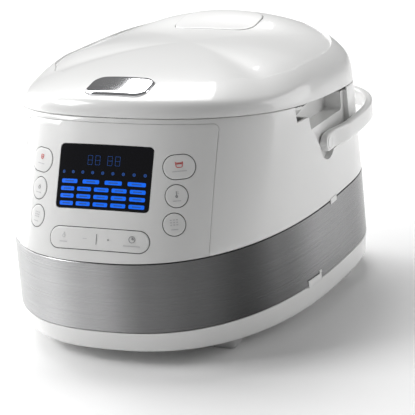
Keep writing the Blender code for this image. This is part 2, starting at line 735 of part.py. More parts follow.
def make_latch():
    frame = button_frame()
    rings = [[frame @ Vector((x, y, z)) for x, y in rounded(BUTTON_SIZE[0] - 2 * trim, BUTTON_SIZE[1] - 2 * trim,
                                                           0.008 - trim)]
             for z, trim in ((-0.0060, 0.0), (-0.0004, 0.0), (0.0006, 0.0012))]
    loft("release_button", rings, chrome)
    pivot = at(0, LATCH_Y, LATCH_Z)
    side = [(-0.0022, 0.0030), (0.0022, 0.0030), (0.0022, -0.0165), (-0.0030, -0.0165), (-0.0030, -0.0140),
            (-0.0022, -0.0130)]
    rings = [[(x, pivot[1] + y, pivot[2] + z) for y, z in side] for x in (-0.0105, 0.0105)]
    hook = loft("latch_hook", rings, black)
    combine(hook, guide(prism("latch_bore", circle(0.0013, 12), -0.02, 0.02, cutter_paint, latch_frame())))
    set_origin(hook, pivot)
    prism("latch_pin", circle(0.0010, 10), -0.0125, 0.0125, steel, latch_frame())
    coil("latch_spring", 0.0026, 0.0004, -0.0155, -0.0130, 3, steel, axis="X", centre=pivot)
    y = LATCH_Y - 0.0036
    block("latch_catch", at(-0.010, y - 0.0030, LATCH_Z - 0.0135), at(0.010, y, LATCH_Z - 0.0110), steel)


def latch_frame():
    frame = Matrix.Rotation(pi / 2, 4, "Y")
    frame.translation = Vector(at(0, LATCH_Y, LATCH_Z))
    return frame


# ---- hinge and handle ----------------------------------------------------------------------
def hinge_frame():
    frame = Matrix.Rotation(pi / 2, 4, "Y")
    frame.translation = Vector(at(0, HINGE_Y, HINGE_Z))
    return frame


def knuckle(name, centre_x, length, material):
    frame = hinge_frame()
    return prism(name, circle(0.0044, 16), centre_x - length / 2, centre_x + length / 2, material, frame)


def make_hinge():
    bracket = block("hinge_bracket", at(-0.040, 0.1724, 0.1520), at(0.040, 0.1746, 0.1690), steel)
    for x in (-0.0335, 0.0335):
        combine(bracket, guide(knuckle(f"fixed_knuckle_{x}", x, 0.013, steel)), "UNION")
        web = block(f"fixed_web_{x}", at(x - 0.0065, 0.1724, 0.160), at(x + 0.0065, 0.1764, 0.1740), steel)
        combine(bracket, guide(web), "UNION")
    bore = prism("bracket_bore", circle(HINGE_PIN_R + GAP, 16), -0.06, 0.06, cutter_paint, hinge_frame())
    combine(bracket, guide(bore))
    arm = knuckle("lid_hinge_arm", 0.0, 0.034, steel)
    leaf = block("arm_leaf", at(-0.017, 0.1713, HINGE_Z), at(0.017, 0.1735, 0.1980), steel)
    combine(arm, guide(leaf), "UNION")
    bore = prism("arm_bore", circle(HINGE_PIN_R + GAP, 16), -0.06, 0.06, cutter_paint, hinge_frame())
    combine(arm, guide(bore))
    set_hinge_origin(arm)
    prism("hinge_pin", circle(HINGE_PIN_R, 16), -0.041, 0.041, steel, hinge_frame())
    coil("hinge_spring", 0.0034, 0.0006, 0.0185, 0.0255, 4, steel, axis="X", centre=at(0, HINGE_Y, HINGE_Z))


def set_hinge_origin(thing):
    thing.matrix_world = Matrix.Identity(4)
    set_origin(thing, at(0, HINGE_Y, HINGE_Z))


def handle_path():
    """Inner and outer points of the bail seen from above, from the right pivot round to the left."""
    y0 = HANDLE_PIVOT[0]
    right = [(HANDLE_END_X, y0), (HANDLE_END_X, y0 + 0.012), (HANDLE_END_X + 0.0029, y0 + 0.024),
             (HANDLE_ARM_X, y0 + 0.036)]
    corner = []
    start, rear, steps = 0.085, HANDLE_REAR - HANDLE_THICKNESS, 14
    for k in range(steps + 1):
        a = pi / 2 * k / steps
        corner.append((HANDLE_ARM_X * cos(a) ** (2 / 2.9) if k < steps else 0.0,
                       start + (rear - start) * sin(a) ** (2 / 2.9)))
    half = right + corner
    return half + [(-x, y) for x, y in half[-2::-1]]


def make_handle():
    path = handle_path()
    z = HANDLE_PIVOT[1]
    half, edge = HANDLE_HEIGHT / 2, 0.0015
    rings = []
    for k, (x, y) in enumerate(path):
        before = path[max(k - 1, 0)]
        after = path[min(k + 1, len(path) - 1)]
        dx, dy = after[0] - before[0], after[1] - before[1]
        length = hypot(dx, dy)
        nx, ny = dy / length, -dx / length
        t = HANDLE_THICKNESS
        section = ((0, -half + edge), (edge, -half), (t - edge, -half), (t, -half + edge),
                   (t, half - edge), (t - edge, half), (edge, half), (0, half - edge))
        rings.append([at(x + nx * across, y + ny * across, z + up) for across, up in section])
    handle = loft("carry_handle", rings, white)
    for side in (1, -1):
        low, high = HANDLE_END_X, HANDLE_END_X + HANDLE_THICKNESS
        boss = prism(f"handle_boss_{side}", circle(half, 24), low, high, white, pivot_frame(side))
        combine(handle, guide(boss), "UNION")
        combine(handle, guide(prism(f"handle_bore_{side}", circle(HANDLE_PIN_R + 0.0002, 20), low - 0.01, high - 0.0015,
                                    cutter_paint, pivot_frame(side))))
        word = "right" if side > 0 else "left"
        prism(f"{word}_handle_pin", circle(HANDLE_PIN_R, 20), RECESS_X - 0.009, high - 0.002, steel, pivot_frame(side))
    merge_flat(handle)
    set_origin(handle, at(0, *HANDLE_PIVOT))


# ---- build ---------------------------------------------------------------------------------
for old in list(bpy.data.objects):
    bpy.data.objects.remove(old)

white = finish("gloss_white_plastic", (0.86, 0.86, 0.85), 0.22)
foot_grey = finish("grey_plastic", (0.62, 0.62, 0.62), 0.5)
black = finish("black_gloss", (0.01, 0.01, 0.012), 0.1)
brushed = finish("brushed_steel", (0.50, 0.50, 0.50), 0.35, 1.0)
steel = finish("plain_steel", (0.60, 0.60, 0.60), 0.35, 1.0)
chrome = finish("chrome", (0.80, 0.80, 0.82), 0.06, 1.0)
aluminium = finish("aluminium", (0.75, 0.76, 0.77), 0.3, 1.0)
cast = finish("cast_aluminium", (0.55, 0.56, 0.57), 0.5, 1.0)
pot_coat = finish("pot_coating", (0.10, 0.10, 0.10), 0.45)
silicone = finish("silicone", (0.80, 0.80, 0.78), 0.6)
fabric_band = finish("heater_band_mica", (0.55, 0.45, 0.30), 0.6)
board_green = finish("circuit_board", (0.04, 0.20, 0.09), 0.5)
cutter_paint = finish("cutter", (1.0, 0.2, 0.2), 0.5)

make_base_tray()
make_feet()
make_base_screws()
make_steel_band()
make_upper_housing()
make_top_collar()
make_well_group()
make_inner_pot()
make_fascia()
make_window()
make_keys()
make_boards()
make_inlet()
make_lid_shell()
make_lid_liner()
make_inner_lid()
make_vent()
make_latch()
make_hinge()
make_handle()

for thing in bpy.data.objects:
    thing.location.z += FLOOR_DROP
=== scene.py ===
import bpy
import bmesh
import json
from bisect import bisect
from math import acos, asin, atan2, cos, degrees, exp, hypot, pi, radians, sin, sqrt
from mathutils import Matrix, Vector

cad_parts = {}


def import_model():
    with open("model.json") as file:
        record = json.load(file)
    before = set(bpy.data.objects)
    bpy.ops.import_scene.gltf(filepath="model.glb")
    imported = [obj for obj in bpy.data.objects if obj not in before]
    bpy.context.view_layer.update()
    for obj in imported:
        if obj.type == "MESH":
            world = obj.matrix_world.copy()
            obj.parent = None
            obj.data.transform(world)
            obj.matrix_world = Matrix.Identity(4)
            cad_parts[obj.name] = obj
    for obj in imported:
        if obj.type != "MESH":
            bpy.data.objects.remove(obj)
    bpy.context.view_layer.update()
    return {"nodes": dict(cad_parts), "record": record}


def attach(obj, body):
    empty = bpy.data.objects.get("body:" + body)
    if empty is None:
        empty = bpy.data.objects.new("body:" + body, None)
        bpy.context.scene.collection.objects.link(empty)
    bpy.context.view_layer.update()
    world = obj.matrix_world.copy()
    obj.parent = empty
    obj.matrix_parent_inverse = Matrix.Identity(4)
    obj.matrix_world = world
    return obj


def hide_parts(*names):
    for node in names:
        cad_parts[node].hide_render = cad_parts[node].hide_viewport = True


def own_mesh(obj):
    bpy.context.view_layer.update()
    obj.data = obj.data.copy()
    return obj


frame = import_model()
nodes = frame["nodes"]
slotOf = {entry["node"]: entry["material_slot"] for entry in frame["record"]["subparts"]}
bodyOf = {node: body for body, members in frame["record"]["behaviour"]["bodies"].items() for node in members}
print("frame loaded:", len(nodes), "nodes")

# the body's plan and profile, metres, from the middle of the body and the level of the base
plan = {"middleY": -0.015, "lift": 0.006, "widestY": 0.049, "halfWidth": 0.1449, "halfDepth": 0.175,
        "frontRounding": 2.50, "frontTaper": 20.0, "taperFrom": 0.120, "rearRounding": 3.34, "frontLean": 0.44,
        "sideLean": 0.024, "rearLean": 0.05,
        "baseBottom": 0.006, "bandBottom": 0.028, "bandTop": 0.092, "wall": 0.0025, "gap": 0.0003}
seam = {"height": 0.1915, "slope": -0.10, "curve": 0.30, "split": 0.0005}
lidShape = {"height": 0.0435, "slope": 0.040, "rim": 0.0075, "hump": 0.0200, "humpY": 0.162, "humpWidth": 0.130,
            "humpLength": 0.0468, "powers": (2.6, 2.2, 3.8, 2.6, 4.6), "roots": (1.7, 1.5, 2.2, 3.2, 2.7),
            "creaseAt": ((-90, 0.74), (-45, 0.755), (-32, 0.817), (-16, 0.872), (5, 0.884), (24, 0.880), (90, 0.90)),
            "creaseDepth": ((-90, 0.0), (-50, 0.0), (-32, 0.0010), (-12, 0.0022), (35, 0.0026), (60, 0.0), (90, 0.0))}


def world(x, y, z):
    return Vector((x, y + plan["middleY"], z + plan["lift"]))


def mix(low, high, share):
    return low + (high - low) * share


def smooth(share):
    share = min(max(share, 0.0), 1.0)
    return share * share * (3 - 2 * share)


def lookUp(table, value):
    keys = [row[0] for row in table]
    k = min(max(bisect(keys, value) - 1, 0), len(table) - 2)
    share = (value - keys[k]) / (keys[k + 1] - keys[k])
    return mix(table[k][1], table[k + 1][1], smooth(share))


def bodySize(z):
    rounding = plan["frontRounding"] - plan["frontTaper"] * max(0.0, z - plan["taperFrom"]) ** 2
    if z < plan["bandBottom"]:
        share = (z - plan["baseBottom"]) / (plan["bandBottom"] - plan["baseBottom"])
        return mix(0.1440, 0.1457, share), mix(-0.1667, -0.1755, share), mix(0.1720, 0.1748, share), rounding
    if z < plan["bandTop"]:
        share = (z - plan["bandBottom"]) / (plan["bandTop"] - plan["bandBottom"])
        front = mix(-0.1755, -plan["halfDepth"], share)
        return mix(0.1457, plan["halfWidth"], share), front, plan["halfDepth"], rounding
    rise = z - plan["bandTop"]
    return (plan["halfWidth"] - plan["sideLean"] * rise, -plan["halfDepth"] + plan["frontLean"] * rise,
            plan["halfDepth"] - plan["rearLean"] * rise, rounding)


def planPoint(angle, size, inset=0.0):
    halfWidth, front, rear, rounding = size
    c, s = cos(angle), sin(angle)
    power = rounding if s < 0 else plan["rearRounding"]
    reach = (plan["widestY"] - front) if s < 0 else (rear - plan["widestY"])
    x = (halfWidth - inset) * abs(c) ** (2 / power)
    y = (reach - inset) * abs(s) ** (2 / power)
    return (x if c > 0 else -x), plan["widestY"] + (y if s > 0 else -y)


def anglesFor(count):
    return [2 * pi * (i + 0.5) / count for i in range(count)]


def levelRing(z, inset=0.0, count=240):
    size = bodySize(z)
    return [world(*planPoint(angle, size, inset), z) for angle in anglesFor(count)]


def seamHeight(y):
    return seam["height"] + seam["slope"] * y + seam["curve"] * min(y, 0.0) ** 2


def seamPoint(angle, inset=0.0, lift=0.0):
    z = seam["height"]
    for _ in range(4):
        x, y = planPoint(angle, bodySize(z), inset)
        z = seamHeight(y) + lift
    return x, y, z


def risingRing(share, inset=0.0, lift=0.0, count=240):
    ring = []
    for angle in anglesFor(count):
        top = seamPoint(angle, inset, lift)[2]
        z = mix(plan["bandTop"] + plan["gap"], top, share)
        ring.append(world(*planPoint(angle, bodySize(z), inset), z))
    return ring


def panelY(x, z):
    halfWidth, front, _, rounding = bodySize(z)
    part = 1 - (abs(x) / halfWidth) ** rounding
    return plan["widestY"] - (plan["widestY"] - front) * part ** (1 / rounding)


def panelFrame(x, z):
    step = 0.0005
    here = world(x, panelY(x, z), z)
    across = Vector((2 * step, panelY(x + step, z) - panelY(x - step, z), 0)).normalized()
    rise = Vector((0, panelY(x, z + step) - panelY(x, z - step), 2 * step)).normalized()
    out = across.cross(rise).normalized()
    rise = out.cross(across)
    turned = Matrix((across, rise, out)).transposed().to_4x4()
    turned.translation = here
    return turned


def onPanel(place):
    out = place.col[2].to_3d()

    def put(u, v, lift):
        point = place @ Vector((u, v, 0.0))
        for _ in range(4):
            past = point.y - plan["middleY"] - panelY(point.x, point.z - plan["lift"])
            point = point + out * past * abs(out.y)
        return point + out * lift
    return put


def blendByTurn(turn, values):
    stops = (-90, -40, 0, 40, 90)
    for k in range(4):
        if turn <= stops[k + 1]:
            return mix(values[k], values[k + 1], smooth((turn - stops[k]) / (stops[k + 1] - stops[k])))
    return values[-1]


def skinHeight(x, y, share, turn, sink=0.0):
    crown = max(0.0, 1 - share ** blendByTurn(turn, lidShape["powers"])) ** (1 / blendByTurn(turn, lidShape["roots"]))
    spread = (x / lidShape["humpWidth"]) ** 2 + ((y - lidShape["humpY"]) / lidShape["humpLength"]) ** 2
    hump = lidShape["hump"] * exp(-spread) * min(1, 9 * (1 - share))
    crease = lookUp(lidShape["creaseAt"], turn)
    dip = lookUp(lidShape["creaseDepth"], turn) * smooth((crease + 0.002 - share) / 0.009)
    dip *= smooth(share / crease * 1.6 - 0.3)
    rim = lidShape["rim"] * sqrt(max(0.0, 1 - (max(0.0, share - 0.965) / 0.035) ** 2))
    rise = lidShape["height"] - lidShape["rim"] - sink + lidShape["slope"] * y
    return seamHeight(y) + seam["split"] + rim + rise * crown + hump - dip


def turnOf(x, y):
    return degrees(asin((y - plan["widestY"]) / hypot(x, y - plan["widestY"])))


edgeTable = []
for k in range(1440):
    ex, ey, _ = seamPoint(2 * pi * (k + 0.5) / 1440, 0.0, seam["split"])
    edgeTable.append((atan2(ey - plan["widestY"], ex), hypot(ex, ey - plan["widestY"])))
edgeTable.sort()
edgeAngles = [row[0] for row in edgeTable]


def lidHeight(x, y):
    angle = atan2(y - plan["widestY"], x)
    k = bisect(edgeAngles, angle) % len(edgeTable)
    low, high = edgeTable[k - 1], edgeTable[k]
    width = (high[0] - low[0]) % (2 * pi)
    reach = mix(low[1], high[1], ((angle - low[0]) % (2 * pi)) / width)
    return skinHeight(x, y, hypot(x, y - plan["widestY"]) / reach, turnOf(x, y))


def onLid(middleX, middleY):
    def put(u, v, lift):
        x, y = middleX + u, middleY + v
        return world(x, y, lidHeight(x, y) + lift)
    return put


def newPiece(name, build):
    mesh = bpy.data.meshes.new(name)
    build.to_mesh(mesh)
    build.free()
    piece = bpy.data.objects.new(name, mesh)
    bpy.context.scene.collection.objects.link(piece)
    return piece


def skinRings(name, rings, loop=False):
    build = bmesh.new()
    rows = [[build.verts.new(point) for point in ring] for ring in rings]
    pairs = list(zip(rows, rows[1:]))
    if loop:
        pairs.append((rows[-1], rows[0]))
    for low, high in pairs:
        for i in range(len(low)):
            j = (i + 1) % len(low)
            build.faces.new((low[i], low[j], high[j], high[i]))
    if not loop:
        build.faces.new(rows[0])
        build.faces.new(rows[-1])
    bmesh.ops.recalc_face_normals(build, faces=build.faces)
    bmesh.ops.triangulate(build, faces=[face for face in build.faces if len(face.verts) > 4])
    return newPiece(name, build)


def spun(name, profile, centre, sides=128, loop=True):
    rings = [[Vector((centre[0] + r * cos(2 * pi * i / sides), centre[1] + r * sin(2 * pi * i / sides), z))
              for i in range(sides)] for r, z in profile]
    return skinRings(name, rings, loop)


def prism(name, outline, low, high, put):
    return skinRings(name, [[put(u, v, level) for u, v in outline] for level in (low, high)])


def inFrame(place):
    return lambda u, v, lift: place @ Vector((u, v, lift))


def roundedBox(width, height, radius, steps=12):
    points = []
    for sx, sy, start in ((1, 1, 0), (-1, 1, 90), (-1, -1, 180), (1, -1, 270)):
        for k in range(steps + 1):
            angle = radians(start + 90 * k / steps)
            points.append((sx * (width / 2 - radius) + radius * cos(angle),
                           sy * (height / 2 - radius) + radius * sin(angle)))
    return points


def discOutline(radius, sides=48):
    return [(radius * cos(2 * pi * i / sides), radius * sin(2 * pi * i / sides)) for i in range(sides)]


def box(name, low, high):
    outline = [(low[0], low[1]), (high[0], low[1]), (high[0], high[1]), (low[0], high[1])]
    return prism(name, outline, low[2], high[2], lambda u, v, lift: Vector((u, v, lift)))


def makeTriangles(piece):
    build = bmesh.new()
    build.from_mesh(piece.data)
    bmesh.ops.triangulate(build, faces=build.faces)
    build.to_mesh(piece.data)
    build.free()


def bake(piece):
    evaluated = piece.evaluated_get(bpy.context.evaluated_depsgraph_get())
    mesh = bpy.data.meshes.new_from_object(evaluated)
    old = piece.data
    piece.modifiers.clear()
    piece.data = mesh
    bpy.data.meshes.remove(old)


def cut(piece, tool):
    makeTriangles(piece)
    makeTriangles(tool)
    step = piece.modifiers.new("cut", "BOOLEAN")
    step.operation = "DIFFERENCE"
    step.solver = "EXACT"
    step.object = tool
    bake(piece)
    bpy.data.objects.remove(tool)


def lattice(width, height, radius, columns=24, rows=8, corner=8):
    ends = [(-width / 2 + radius * (1 - cos(pi / 2 * k / corner)),
             height / 2 - radius + radius * sin(pi / 2 * k / corner)) for k in range(corner + 1)]
    inner = [(mix(-width / 2 + radius, width / 2 - radius, k / columns), height / 2) for k in range(1, columns)]
    tops = ends + inner + [(-u, v) for u, v in ends[::-1]]
    return [[(u, half * (2 * j / rows - 1)) for j in range(rows + 1)] for u, half in tops]


def pad(name, put, size, profile, columns=24, rows=8, corner=8):
    width, height, radius = size
    build = bmesh.new()
    grids = []
    for inset, lift in profile:
        small = max(radius - inset, 0.00002)
        grids.append((lattice(width - 2 * inset, height - 2 * inset, small, columns, rows, corner), lift))
    count = len(grids[0][0])
    border = [(i, 0) for i in range(count)] + [(count - 1, j) for j in range(1, rows + 1)]
    border += [(i, rows) for i in range(count - 2, -1, -1)] + [(0, j) for j in range(rows - 1, 0, -1)]

    def face(grid, lift):
        points = [[build.verts.new(put(u, v, lift)) for u, v in column] for column in grid]
        for i in range(count - 1):
            for j in range(rows):
                build.faces.new((points[i][j], points[i + 1][j], points[i + 1][j + 1], points[i][j + 1]))
        return [points[i][j] for i, j in border]

    first = face(*grids[0])
    for grid, lift in grids[1:-1]:
        ring = [build.verts.new(put(*grid[i][j], lift)) for i, j in border]
        for k in range(len(ring)):
            build.faces.new((first[k], first[k - 1], ring[k - 1], ring[k]))
        first = ring
    last = face(*grids[-1])
    for k in range(len(last)):
        build.faces.new((first[k], first[k - 1], last[k - 1], last[k]))
    bmesh.ops.remove_doubles(build, verts=build.verts, dist=0.000004)
    bmesh.ops.dissolve_degenerate(build, edges=build.edges, dist=0.000001)
    bmesh.ops.recalc_face_normals(build, faces=build.faces)
    return newPiece(name, build)


def settle(piece, material, nodeNames=(), body=None, sharp=35):
    piece.data.materials.clear()
    piece.data.materials.append(material)
    piece.data.shade_smooth()
    piece.data.set_sharp_from_angle(angle=radians(sharp))
    if nodeNames:
        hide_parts(*nodeNames)
    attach(piece, body or bodyOf[nodeNames[0]])
    return piece


def softEdges(piece, width, segments=2, angle=40):
    step = piece.modifiers.new("edges", "BEVEL")
    step.width = width
    step.segments = segments
    step.limit_method = "ANGLE"
    step.angle_limit = radians(angle)
    step.harden_normals = False
    bake(piece)
    return piece


def mergedCopy(node, name):
    build = bmesh.new()
    build.from_mesh(nodes[node].data)
    bmesh.ops.remove_doubles(build, verts=build.verts, dist=0.000005)
    bmesh.ops.dissolve_limit(build, angle_limit=radians(0.5), verts=build.verts, edges=build.edges)
    return newPiece(name, build)


# finishes: colour, metal, roughness, then the fine detail that breaks each one up
looks = {
    "glossWhite": {"color": (0.82, 0.82, 0.813), "rough": 0.30, "spread": 0.05, "mottle": 0.012, "mottleScale": 9,
                   "grain": 0.03, "grainScale": 900, "coat": 0.55, "coatRough": 0.04},
    "innerWhite": {"color": (0.80, 0.80, 0.79), "rough": 0.42, "spread": 0.08, "mottle": 0.03, "mottleScale": 14,
                   "grain": 0.06, "grainScale": 1300},
    "footGrey": {"color": (0.52, 0.52, 0.52), "rough": 0.6, "spread": 0.1, "mottle": 0.05, "mottleScale": 60,
                 "grain": 0.15, "grainScale": 2200},
    "displayBlack": {"color": (0.002, 0.002, 0.004), "rough": 0.07, "spread": 0.03, "mottle": 0.2, "mottleScale": 30,
                     "grain": 0.0, "grainScale": 500},
    # black plastic, and also painted shade: the strip under the base step and the gaps round the keys and the button
    "darkPlasticAndShade": {"color": (0.018, 0.018, 0.020), "rough": 0.45, "spread": 0.1, "mottle": 0.1, "mottleScale": 80,
                    "grain": 0.12, "grainScale": 1800},
    "brushedBand": {"color": (0.50, 0.50, 0.505), "metal": 1.0, "rough": 0.26, "spread": 0.08, "mottle": 0.12,
                    "mottleScale": 1, "stretch": (3, 3, 3200), "grain": 0.16, "grainScale": 1,
                    "grainStretch": (4, 4, 5200), "anisotropic": 0.80, "anisoTurn": 0.25,
                    # painted reflections of the lamps: light and dark zones by plan angle round the band
                    "paintedReflections": ((-180, 0.50), (-125, 0.36), (-103, 0.92), (-92, 0.72), (-78, 0.32), (-67, 0.25),
                              (-56, 0.15), (-42, 0.25), (-19, 0.60), (26, 0.42), (90, 0.50), (180, 0.50))},
    "plainSteel": {"color": (0.55, 0.55, 0.55), "metal": 1.0, "rough": 0.32, "spread": 0.12, "mottle": 0.06,
                   "mottleScale": 40, "grain": 0.05, "grainScale": 900},
    "mirrorChrome": {"color": (0.82, 0.82, 0.84), "metal": 1.0, "rough": 0.07, "spread": 0.05, "mottle": 0.02,
                     "mottleScale": 30, "grain": 0.02, "grainScale": 300},
    "satinAluminium": {"color": (0.72, 0.73, 0.74), "metal": 1.0, "rough": 0.33, "spread": 0.1, "mottle": 0.05,
                       "mottleScale": 25, "grain": 0.06, "grainScale": 1500},
    "castAluminium": {"color": (0.50, 0.51, 0.52), "metal": 1.0, "rough": 0.55, "spread": 0.12, "mottle": 0.12,
                      "mottleScale": 120, "grain": 0.3, "grainScale": 700},
    "potCoating": {"color": (0.035, 0.035, 0.037), "rough": 0.42, "spread": 0.12, "mottle": 0.5, "mottleScale": 900,
                   "grain": 0.12, "grainScale": 1600},
    "siliconeRubber": {"color": (0.72, 0.72, 0.70), "rough": 0.55, "spread": 0.1, "mottle": 0.04, "mottleScale": 50,
                       "grain": 0.08, "grainScale": 900},
    "micaWrap": {"color": (0.42, 0.33, 0.20), "rough": 0.6, "spread": 0.15, "mottle": 0.3, "mottleScale": 90,
                 "grain": 0.2, "grainScale": 600},
    "boardGreen": {"color": (0.02, 0.13, 0.05), "rough": 0.35, "spread": 0.12, "mottle": 0.25, "mottleScale": 220,
                   "grain": 0.1, "grainScale": 500, "coat": 0.3, "coatRough": 0.1},
    "printGrey": {"color": (0.30, 0.30, 0.31), "rough": 0.5, "spread": 0.05, "mottle": 0.05, "mottleScale": 400,
                  "grain": 0.0, "grainScale": 500},
    "printPale": {"color": (0.58, 0.58, 0.59), "rough": 0.5, "spread": 0.05, "mottle": 0.05, "mottleScale": 400,
                  "grain": 0.0, "grainScale": 500},
    "printRed": {"color": (0.62, 0.06, 0.05), "rough": 0.45, "spread": 0.05, "mottle": 0.05, "mottleScale": 400,
                 "grain": 0.0, "grainScale": 500},
    "litBlue": {"color": (0.01, 0.05, 0.35), "rough": 0.2, "spread": 0.02, "mottle": 0.3, "mottleScale": 160,
                "grain": 0.0, "grainScale": 500, "glow": (0.0, 0.14, 0.85), "glowPower": 0.8},
    "dimBlue": {"color": (0.01, 0.03, 0.12), "rough": 0.2, "spread": 0.02, "mottle": 0.3, "mottleScale": 200,
                "grain": 0.0, "grainScale": 500, "glow": (0.05, 0.20, 0.75), "glowPower": 0.35},
    "paleFloor": {"color": (0.97, 0.97, 0.97), "rough": 0.5, "spread": 0.05, "mottle": 0.01, "mottleScale": 3,
                  "grain": 0.01, "grainScale": 60},
}


def addNode(tree, kind, **values):
    node = tree.nodes.new(kind)
    for key, value in values.items():
        setattr(node, key, value)
    return node


def makeFinish(name, look):
    material = bpy.data.materials.new(name)
    material.use_nodes = True
    tree = material.node_tree
    link = tree.links.new
    shader = tree.nodes["Principled BSDF"]
    shader.inputs["Metallic"].default_value = look.get("metal", 0.0)
    shader.inputs["Coat Weight"].default_value = look.get("coat", 0.0)
    shader.inputs["Coat Roughness"].default_value = look.get("coatRough", 0.03)
    shader.inputs["Anisotropic"].default_value = look.get("anisotropic", 0.0)
    shader.inputs["Anisotropic Rotation"].default_value = look.get("anisoTurn", 0.0)
    where = addNode(tree, "ShaderNodeTexCoord")

    def noise(stretch, scale, detail):
        place = addNode(tree, "ShaderNodeMapping")
        place.inputs["Scale"].default_value = stretch
        link(where.outputs["Object"], place.inputs["Vector"])
        grain = addNode(tree, "ShaderNodeTexNoise")
        grain.inputs["Scale"].default_value = scale
        grain.inputs["Detail"].default_value = detail
        link(place.outputs["Vector"], grain.inputs["Vector"])
        return grain.outputs["Fac"]

    broad = noise(look.get("stretch", (1, 1, 1)), look["mottleScale"], 5)
    ramp = addNode(tree, "ShaderNodeValToRGB")
    color = look["color"]
    ramp.color_ramp.elements[0].position = 0.25
    ramp.color_ramp.elements[1].position = 0.75
    ramp.color_ramp.elements[0].color = (*[c * (1 - look["mottle"]) for c in color], 1)
    ramp.color_ramp.elements[1].color = (*[min(1, c * (1 + look["mottle"])) for c in color], 1)
    link(broad, ramp.inputs["Fac"])
    if "paintedReflections" in look:  # painted reflections: upright light and dark zones round the brushed sheet, set by plan angle and multiplied into its colour
        middle = addNode(tree, "ShaderNodeMapping")
        middle.inputs["Location"].default_value = (0, -plan["widestY"] - plan["middleY"], 0)
        link(where.outputs["Object"], middle.inputs["Vector"])
        around = addNode(tree, "ShaderNodeTexGradient", gradient_type="RADIAL")
        link(middle.outputs["Vector"], around.inputs["Vector"])
        paintedReflections = addNode(tree, "ShaderNodeValToRGB")
        paintedReflections.color_ramp.interpolation = "EASE"
        for turn, shade in look["paintedReflections"][1:-1]:
            paintedReflections.color_ramp.elements.new((turn + 180) / 360)
        for element, (_, shade) in zip(paintedReflections.color_ramp.elements, look["paintedReflections"]):
            element.color = (shade, shade, shade, 1)
        link(around.outputs["Fac"], paintedReflections.inputs["Fac"])
        shaded = addNode(tree, "ShaderNodeVectorMath", operation="MULTIPLY")
        link(ramp.outputs["Color"], shaded.inputs[0])
        link(paintedReflections.outputs["Color"], shaded.inputs[1])
        link(shaded.outputs["Vector"], shader.inputs["Base Color"])
    else:
        link(ramp.outputs["Color"], shader.inputs["Base Color"])
    spread = addNode(tree, "ShaderNodeMapRange")
    spread.inputs["To Min"].default_value = max(0.02, look["rough"] - look["spread"])
    spread.inputs["To Max"].default_value = look["rough"] + look["spread"]
    link(broad, spread.inputs["Value"])
    link(spread.outputs["Result"], shader.inputs["Roughness"])
    if look["grain"] > 0:
        fine = noise(look.get("grainStretch", (1, 1, 1)), look["grainScale"], 3)
        bump = addNode(tree, "ShaderNodeBump")
        bump.inputs["Strength"].default_value = look["grain"]
        bump.inputs["Distance"].default_value = 0.0002
        link(fine, bump.inputs["Height"])
        link(bump.outputs["Normal"], shader.inputs["Normal"])
    if "anisotropic" in look:
        tangent = addNode(tree, "ShaderNodeTangent", direction_type="RADIAL", axis="Z")
        link(tangent.outputs["Tangent"], shader.inputs["Tangent"])
    if "glow" in look:
        shader.inputs["Emission Color"].default_value = (*look["glow"], 1)
        shader.inputs["Emission Strength"].default_value = look["glowPower"]
    return material


finish = {name: makeFinish(name, look) for name, look in looks.items()}
print("finishes made:", len(finish))


def roundCorners(points, radius, steps=6):
    rounded = []
    count = len(points)
    for i in range(count):
        here = Vector(points[i])
        before = (Vector(points[i - 1]) - here)
        after = (Vector(points[(i + 1) % count]) - here)
        turn = before.angle(after)
        reach = min(radius / max(0.05, (sin(turn / 2) / max(cos(turn / 2), 0.0001))),
                    before.length * 0.45, after.length * 0.45)
        if turn > radians(172):
            rounded.append(tuple(here))
            continue
        start, end = here + before.normalized() * reach, here + after.normalized() * reach
        for k in range(steps + 1):
            t = k / steps
            rounded.append(tuple(start * (1 - t) ** 2 + here * 2 * t * (1 - t) + end * t ** 2))
    return rounded


def sidePrism(name, outline, lowX, highX):
    return skinRings(name, [[world(x, y, z) for y, z in outline] for x in (lowX, highX)])


handleShape = {"pivotY": 0.027, "pivotZ": 0.147, "height": 0.0175, "thickness": 0.0070, "endX": 0.1390,
               "armX": 0.1448, "rear": 0.2053, "pinRadius": 0.0040, "edge": 0.0026}
recessShape = {"floorX": 0.1380, "gripX": 0.1215, "outside": 0.17, "radius": 0.0160, "below": 0.0102}


def recessOutline(grow=0.0):
    y0, z0 = handleShape["pivotY"], handleShape["pivotZ"]
    radius, floor = recessShape["radius"] + grow, recessShape["below"] + grow
    start = degrees(acos(floor / radius))
    turns = [radians(mix(-start, 90, k / 30)) for k in range(31)]
    bend = [(y0 - radius * sin(turn), z0 - radius * cos(turn)) for turn in turns]
    rest = [(-0.004 - grow, 0.172), (-0.010 - grow, 0.225), (0.085 + grow, 0.225)]
    return [(0.085 + grow, z0 - floor)] + bend + rest


def gripOutline(grow=0.0):
    points = [(-0.003 - grow, 0.1660 - grow), (0.078 + grow, 0.1630 - grow), (0.078 + grow, 0.225),
              (-0.009 - grow, 0.225)]
    return roundCorners(points, 0.004)


def pivotFrame(side):
    turned = Matrix.Rotation(side * pi / 2, 4, "Y")
    turned.translation = world(0, handleShape["pivotY"], handleShape["pivotZ"])
    return turned


panelShape = {"half": 0.0944, "corner": 0.005, "below": 0.0042, "window": (0.092, 0.0575), "windowZ": 0.161,
              "keyX": 0.0676, "rows": (0.1687, 0.1454, 0.1227), "keySize": 0.020, "upperKey": (0.0285, 0.0215),
              "bar": (0.098, 0.0195), "barZ": 0.1112, "proud": 0.0006, "thickness": 0.0025, "clearance": 0.0004}
keyNames = {(-1, 0): "left_upper_key", (-1, 1): "left_middle_key", (-1, 2): "left_lower_key",
            (1, 0): "right_upper_key", (1, 1): "right_middle_key", (1, 2): "right_lower_key"}


def keyPlaces():  # name, frame, width and height, columns of the mesh
    for (side, row), name in keyNames.items():
        size = panelShape["upperKey"] if row == 0 else (panelShape["keySize"],) * 2
        yield name, panelFrame(side * panelShape["keyX"], panelShape["rows"][row]), size, 10
    yield "timer_bar_key", panelFrame(0, panelShape["barZ"]), panelShape["bar"], 48


